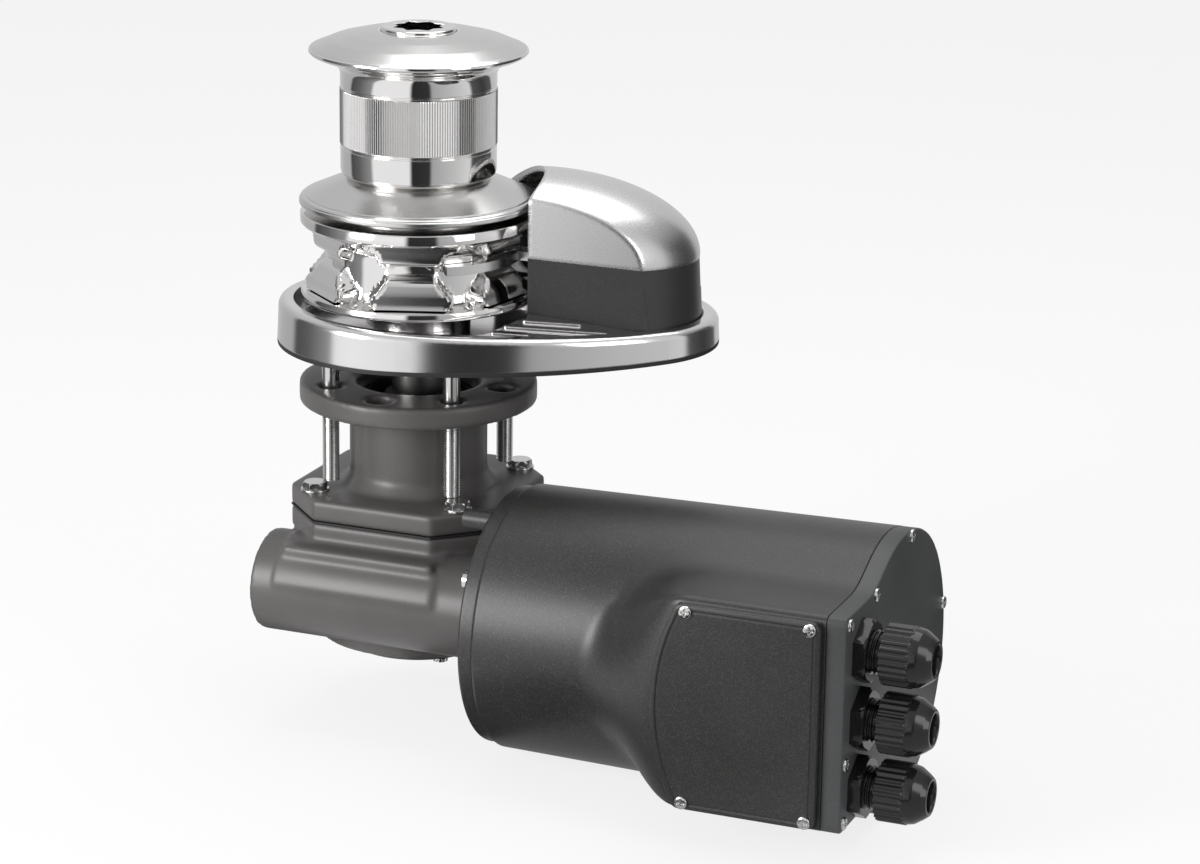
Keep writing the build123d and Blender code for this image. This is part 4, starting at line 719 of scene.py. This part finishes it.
# depth behind the front, inset from the outline
lid_steps = [(3.0, 0.0), (0.9, 0.0), (0.3, 0.25), (0.0, 0.9), (0.0, 2.2), (0.45, 2.5), (0.45, 3.0), (0.1, 3.3)]


def inset_outline(outline, inset):
    """The outline of a plate drawn in by inset. Its points run anticlockwise."""
    result = []
    count = len(outline)
    for i, (x, z) in enumerate(outline):
        a, b = outline[i - 1], outline[(i + 1) % count]
        first = Vector((z - a[1], a[0] - x)).normalized()
        second = Vector((b[1] - z, x - b[0])).normalized()
        normal = (first + second).normalized()
        reach = inset / max(normal.dot(first), 0.4)
        result.append((x - normal.x * reach, z - normal.y * reach))
    return result


def on_lid(x, z):
    """A function that stands a point on the lid's front at x and z."""
    def to_place(point):
        return (x + point[0], lid_front + lid_screw_sunk - point[2], z + point[1])
    return to_place


black_plastic = finish_paint("black_plastic", block_plastic_colour, 0.33, 0.10, 2200.0, 0.08, 0.0012)
finish_nodes(black_plastic, "terminal_block", "brush_holders")
finish_nodes(bronze, "terminal_studs")
finish_nodes(rubber, "lid_gasket")
finish_nodes(cover_paint, "terminal_lid")
finish_nodes(bright_fixings, "lid_screws")
lid_middle = (lid_top + lid_low) / 2
bow = []
for i in range(3, bow_steps - 2):
    z = lid_top + (lid_low - lid_top) * i / bow_steps
    share = 1 - ((z - lid_middle) / (lid_top - lid_middle)) ** 2
    bow.append((lid_left + (lid_bow - lid_left) * share, z, 0))
lid_outline = rounded([(lid_right, lid_top, lid_corner), (lid_left, lid_top, lid_corner)] + bow
                      + [(lid_left, lid_low, lid_corner), (lid_right, lid_low, lid_corner)])
rings = []
for depth, inset in lid_steps:
    rings.append([(x, lid_front + depth, z) for x, z in inset_outline(lid_outline, inset)])
points, faces = skin(rings, False)
lid = solid_mesh("box_lid", points, faces, cover_paint, 30)
dress(lid, "housing", "terminal_lid")

lid_heads = [cross_head(lid_screw_radius, lid_screw_height, on_lid(x, z)) for x, z in lid_screws_at]
lid_screws = joined("lid_screws_seen", lid_heads)
dress(lid_screws, "housing", "lid_screws")

# Cable glands: three glossy nylon glands on the end cap, each with a hexagon foot, a threaded neck,
# a ribbed nut and a rounded dome with the cable's opening. A rubber ring in each grips the cable.

gland_colour = (0.010, 0.010, 0.010)
gland_across = -104.0
gland_heights = (-141.5, -111.0, -80.5)
gland_flats = 25.0
foot_limit = 14.6
foot_chamfer_radius = 12.9
foot_height = 5.5
foot_chamfer = 0.9
neck_end = 11.2
neck_overlap = 0.6
neck_radius = 9.6
neck_thread_radius = 9.5
neck_thread_pitch = 2.0
neck_thread_depth = 1.0
nut_end = 24.0
nut_radius = 13.3
nut_ribs = 26
nut_rib_depth = 0.9
dome_opening = 6.5
quarter = pi / 2
foot_levels = [
    (foot_limit, 0), (foot_limit, foot_height - foot_chamfer), (foot_chamfer_radius, foot_height),
    (neck_radius, foot_height),
]
dome_profile = rounded([
    (dome_opening, nut_end - 1, 0), (12.9, nut_end - 1, 0), (12.9, nut_end + 0.5, 0.8), (12.3, 27.2, 2.5),
    (9.9, 30.9, 3), (8.2, 33.0, 0.7), (6.9, 33.0, 0.4), (dome_opening, 32.2, 0),
])

gland_plastic = finish_paint("gland_plastic", gland_colour, 0.13, 0.0, 1500.0, 0.004, 0.0004)
finish_nodes(gland_plastic, "gland_bodies", "gland_dome_nuts")
finish_nodes(rubber, "gland_seals")
feet, domes = [], []
for z in gland_heights:
    points, faces = skin(hexagon_rings(gland_flats, foot_levels, 96, on_cap(gland_across, z)), False)
    feet.append(solid_mesh("foot", points, faces, gland_plastic, 30))
    points, faces = skin(turned_rings(dome_profile, 96, on_cap(gland_across, z)), True)
    domes.append(solid_mesh("dome", points, faces, gland_plastic, 40))
neck_middle = cap_right + (foot_height + neck_end) / 2
necks = ribbed_rods("necks", [(neck_middle, gland_across, z) for z in gland_heights], neck_thread_radius,
                    neck_end - foot_height + neck_overlap, 1, 2000 * pi / neck_thread_pitch, neck_thread_depth,
                    48, 40, (0, quarter, 0), gland_plastic, 60)
gland_feet = joined("gland_feet", [necks] + feet)
dress(gland_feet, "housing", "gland_bodies")
nut_middle = cap_right + (neck_end + nut_end) / 2
nuts = ribbed_rods("nuts", [(nut_middle, gland_across, z) for z in gland_heights], nut_radius,
                   nut_end - neck_end, nut_ribs, 0, nut_rib_depth, nut_ribs * 8, 6, (0, quarter, 0),
                   gland_plastic, 50)
gland_nuts = joined("gland_nuts", [nuts] + domes)
dress(gland_nuts, "housing", "gland_dome_nuts")

# Gypsy: six lugs carry the links that lie flat, and the links between stand in the gaps.
# It is a polished steel casting with faceted lugs, and a heavier rim closes the wheel above
# and below. Both its faces are conical seats for the clutch.

polished_colour = (0.82, 0.81, 0.80)
gypsy_sides = 480
lug_pitch = 60.0
lug_start = 50.0
lug_edge = 4.6
# height, radius on a lug, half the lug's width in degrees, radius between lugs
gypsy_levels = [
    (21.5, 52.6, 30, 52.6), (21.9, 53.6, 30, 53.6), (22.6, 54.0, 30, 54.0), (24.9, 54.0, 30, 54.0),
    (25.5, 53.6, 30, 53.6), (25.8, 53.0, 30, 52.8), (26.2, 52.7, 20.0, 47.0), (27.4, 52.9, 22.5, 43.8),
    (29.0, 52.9, 24.0, 43.0), (30.6, 52.6, 23.6, 42.8), (32.2, 51.4, 21.6, 42.6), (34.0, 49.8, 19.0, 42.6),
    (36.0, 48.4, 17.0, 42.5), (37.4, 47.4, 15.6, 42.4), (39.0, 45.2, 15.0, 42.4), (40.8, 42.6, 14.5, 42.4),
    (43.8, 42.4, 14.5, 42.4), (44.6, 44.2, 17.5, 42.4), (45.6, 47.4, 18.0, 42.4), (47.0, 48.8, 18.4, 42.5),
    (48.6, 49.2, 19.0, 42.9), (50.0, 49.3, 20.0, 44.2), (51.4, 49.6, 22.0, 46.8), (52.6, 50.4, 25.0, 49.2),
    (54.0, 51.6, 28.0, 51.3), (56.0, 53.2, 30.0, 53.2), (56.9, 54.0, 30.0, 54.0), (60.9, 54.0, 30.0, 54.0),
    (61.4, 53.7, 30.0, 53.7), (61.6, 53.2, 30.0, 53.2),
]
# the bore between its two conical seats: radius, height
gypsy_seats = [(36.2, 61.6), (32.5, 44.1), (18.0, 44.1), (18.0, 39.0), (32.5, 39.0), (36.2, 21.5)]


def gypsy_ring(height, lug, half, gap):
    """One level of the gypsy: flat faces on the lugs, and round between them."""
    ring = []
    for j in range(gypsy_sides):
        turn = 360 * j / gypsy_sides
        away = abs((turn - lug_start + lug_pitch / 2) % lug_pitch - lug_pitch / 2)
        share = min(max((half - away) / lug_edge + 0.5, 0), 1)
        face = lug * cos(radians(half)) / cos(radians(min(away, half))) if lug > gap else lug
        radius = gap + (face - gap) * share
        ring.append((radius * cos(radians(turn)), radius * sin(radians(turn)), height))
    return ring


polished_steel = finish_metal("polished_steel", polished_colour, 0.06, 0.02, 0.003)
finish_nodes(polished_steel, "gypsy")
finish_nodes(satin_steel, "lower_clutch_cone")
finish_nodes(inner_steel, "release_spring")
rings = [gypsy_ring(*level) for level in gypsy_levels] + turned_rings(gypsy_seats, gypsy_sides)
points, faces = skin(rings, True)
gypsy = solid_mesh("gypsy_wheel", points, faces, polished_steel, 40)
dress(gypsy, "gypsy", "gypsy")

# Chain cover: a bright satin dome over a black moulded body, cut open beside the gypsy.
# The dome lifts off once the black latch on the nose is pressed, and a sprung lever inside
# holds the chain down on the gypsy.

dome_colour = (0.74, 0.735, 0.73)

dome_steel = finish_metal("dome_steel", dome_colour, 0.27, 0.03, 0.010, 0.0024)
finish_nodes(dome_steel, "cover_shell")
finish_nodes(black_plastic, "cover_body", "cover_latch", "pressure_lever")
finish_nodes(inner_steel, "lever_spring")
finish_nodes(bright_fixings, "lever_pin")

# Upper clutch cone: a satin steel disc, satin out to its rim, which presses on the gypsy when the
# nut is tight. Its upper face slopes up to the drum, and two fine steps mark the rim.

cone_bore = 12.56
cone_sides = 256
cone_profile = rounded([
    (cone_bore, 44.8, 0), (15, 44.8, 0), (16.1, 53.6, 0), (32.4, 44.8, 0), (36.2, 61.6, 0), (36.2, 64.7, 0),
    (53.4, 64.7, 0.6), (54.5, 65.4, 0.5), (54.5, 67.0, 0.4), (53.9, 67.5, 0), (53.9, 67.9, 0),
    (53.0, 68.6, 0.4), (51.8, 68.8, 0.3), (51.4, 69.3, 0.2), (31.2, 78.1, 0.5), (31.2, 78.4, 0),
    (cone_bore, 78.4, 0),
])

finish_nodes(satin_steel, "upper_clutch_cone")
points, faces = skin(turned_rings(cone_profile, cone_sides), True)
cone = solid_mesh("clutch_disc", points, faces, satin_steel, 28)
dress(cone, "drum", "upper_clutch_cone")

# Drum: polished steel, with a knurled band that grips the rope between two pairs of fine grooves.
# Its top is a wide satin dome with a polished rim, around the clutch nut.

drum_bore = 12.56
drum_sides = 256
dome_low = 0.1362
dome_inner = 0.0186
knurl_radius = 35.85
knurl_bottom = 93.0
knurl_top = 118.1
knurl_ribs = 190
knurl_depth = 0.42
drum_profile = rounded([
    (drum_bore, 78.4, 0), (34.0, 78.4, 0), (35.2, 79.4, 0.6), (35.6, 81.0, 0), (35.6, 91.2, 0),
    (35.2, 91.5, 0), (35.2, 92.0, 0), (35.5, 92.3, 0), (35.5, 92.8, 0), (35.0, 93.1, 0), (35.0, 118.0, 0),
    (35.5, 118.3, 0), (35.5, 118.8, 0), (35.2, 119.1, 0), (35.2, 119.6, 0), (35.6, 119.9, 0),
    (35.6, 125.5, 0), (37.0, 128.6, 4), (42.0, 131.2, 3), (47.0, 133.0, 2), (48.9, 133.9, 0.4),
    (49.9, 134.9, 0.5), (49.7, 135.8, 0.3), (49.0, 136.4, 0), (46.9, 137.2, 0), (40.0, 140.2, 12),
    (30.0, 142.7, 14), (22.0, 144.0, 10), (18.6, 144.4, 0), (17.9, 144.4, 0.2), (17.35, 143.9, 0.2),
    (17.35, 142.9, 0), (15.5, 142.9, 0), (15.5, 116.0, 0),
    (drum_bore, 116.0, 0),
])

finish_nodes(polished_steel, "drum")
points, faces = skin(turned_rings(drum_profile, drum_sides), True)
drum_body = solid_mesh("drum_body", points, faces, polished_steel, 28)
drum_body.data.materials.append(satin_steel)
for face in drum_body.data.polygons:
    if face.center.z > dome_low and hypot(face.center.x, face.center.y) > dome_inner:
        face.material_index = 1
dress(drum_body, "drum", "drum")

knurl = ribbed_rods("knurled_band", [(0, 0, (knurl_bottom + knurl_top) / 2)], knurl_radius,
                    knurl_top - knurl_bottom, knurl_ribs, 0, knurl_depth, knurl_ribs * 6, 1, (0, 0, 0),
                    polished_steel, 40)
dress(knurl, "drum", "drum")

# Clutch nut: a polished nut with an eight-pointed socket for the handle, on a bronze thrust washer.
# It is screwed on the shaft's end and presses the drum and the cone down on the gypsy.

finish_nodes(polished_steel, "clutch_nut")
finish_nodes(bronze, "thrust_washer")
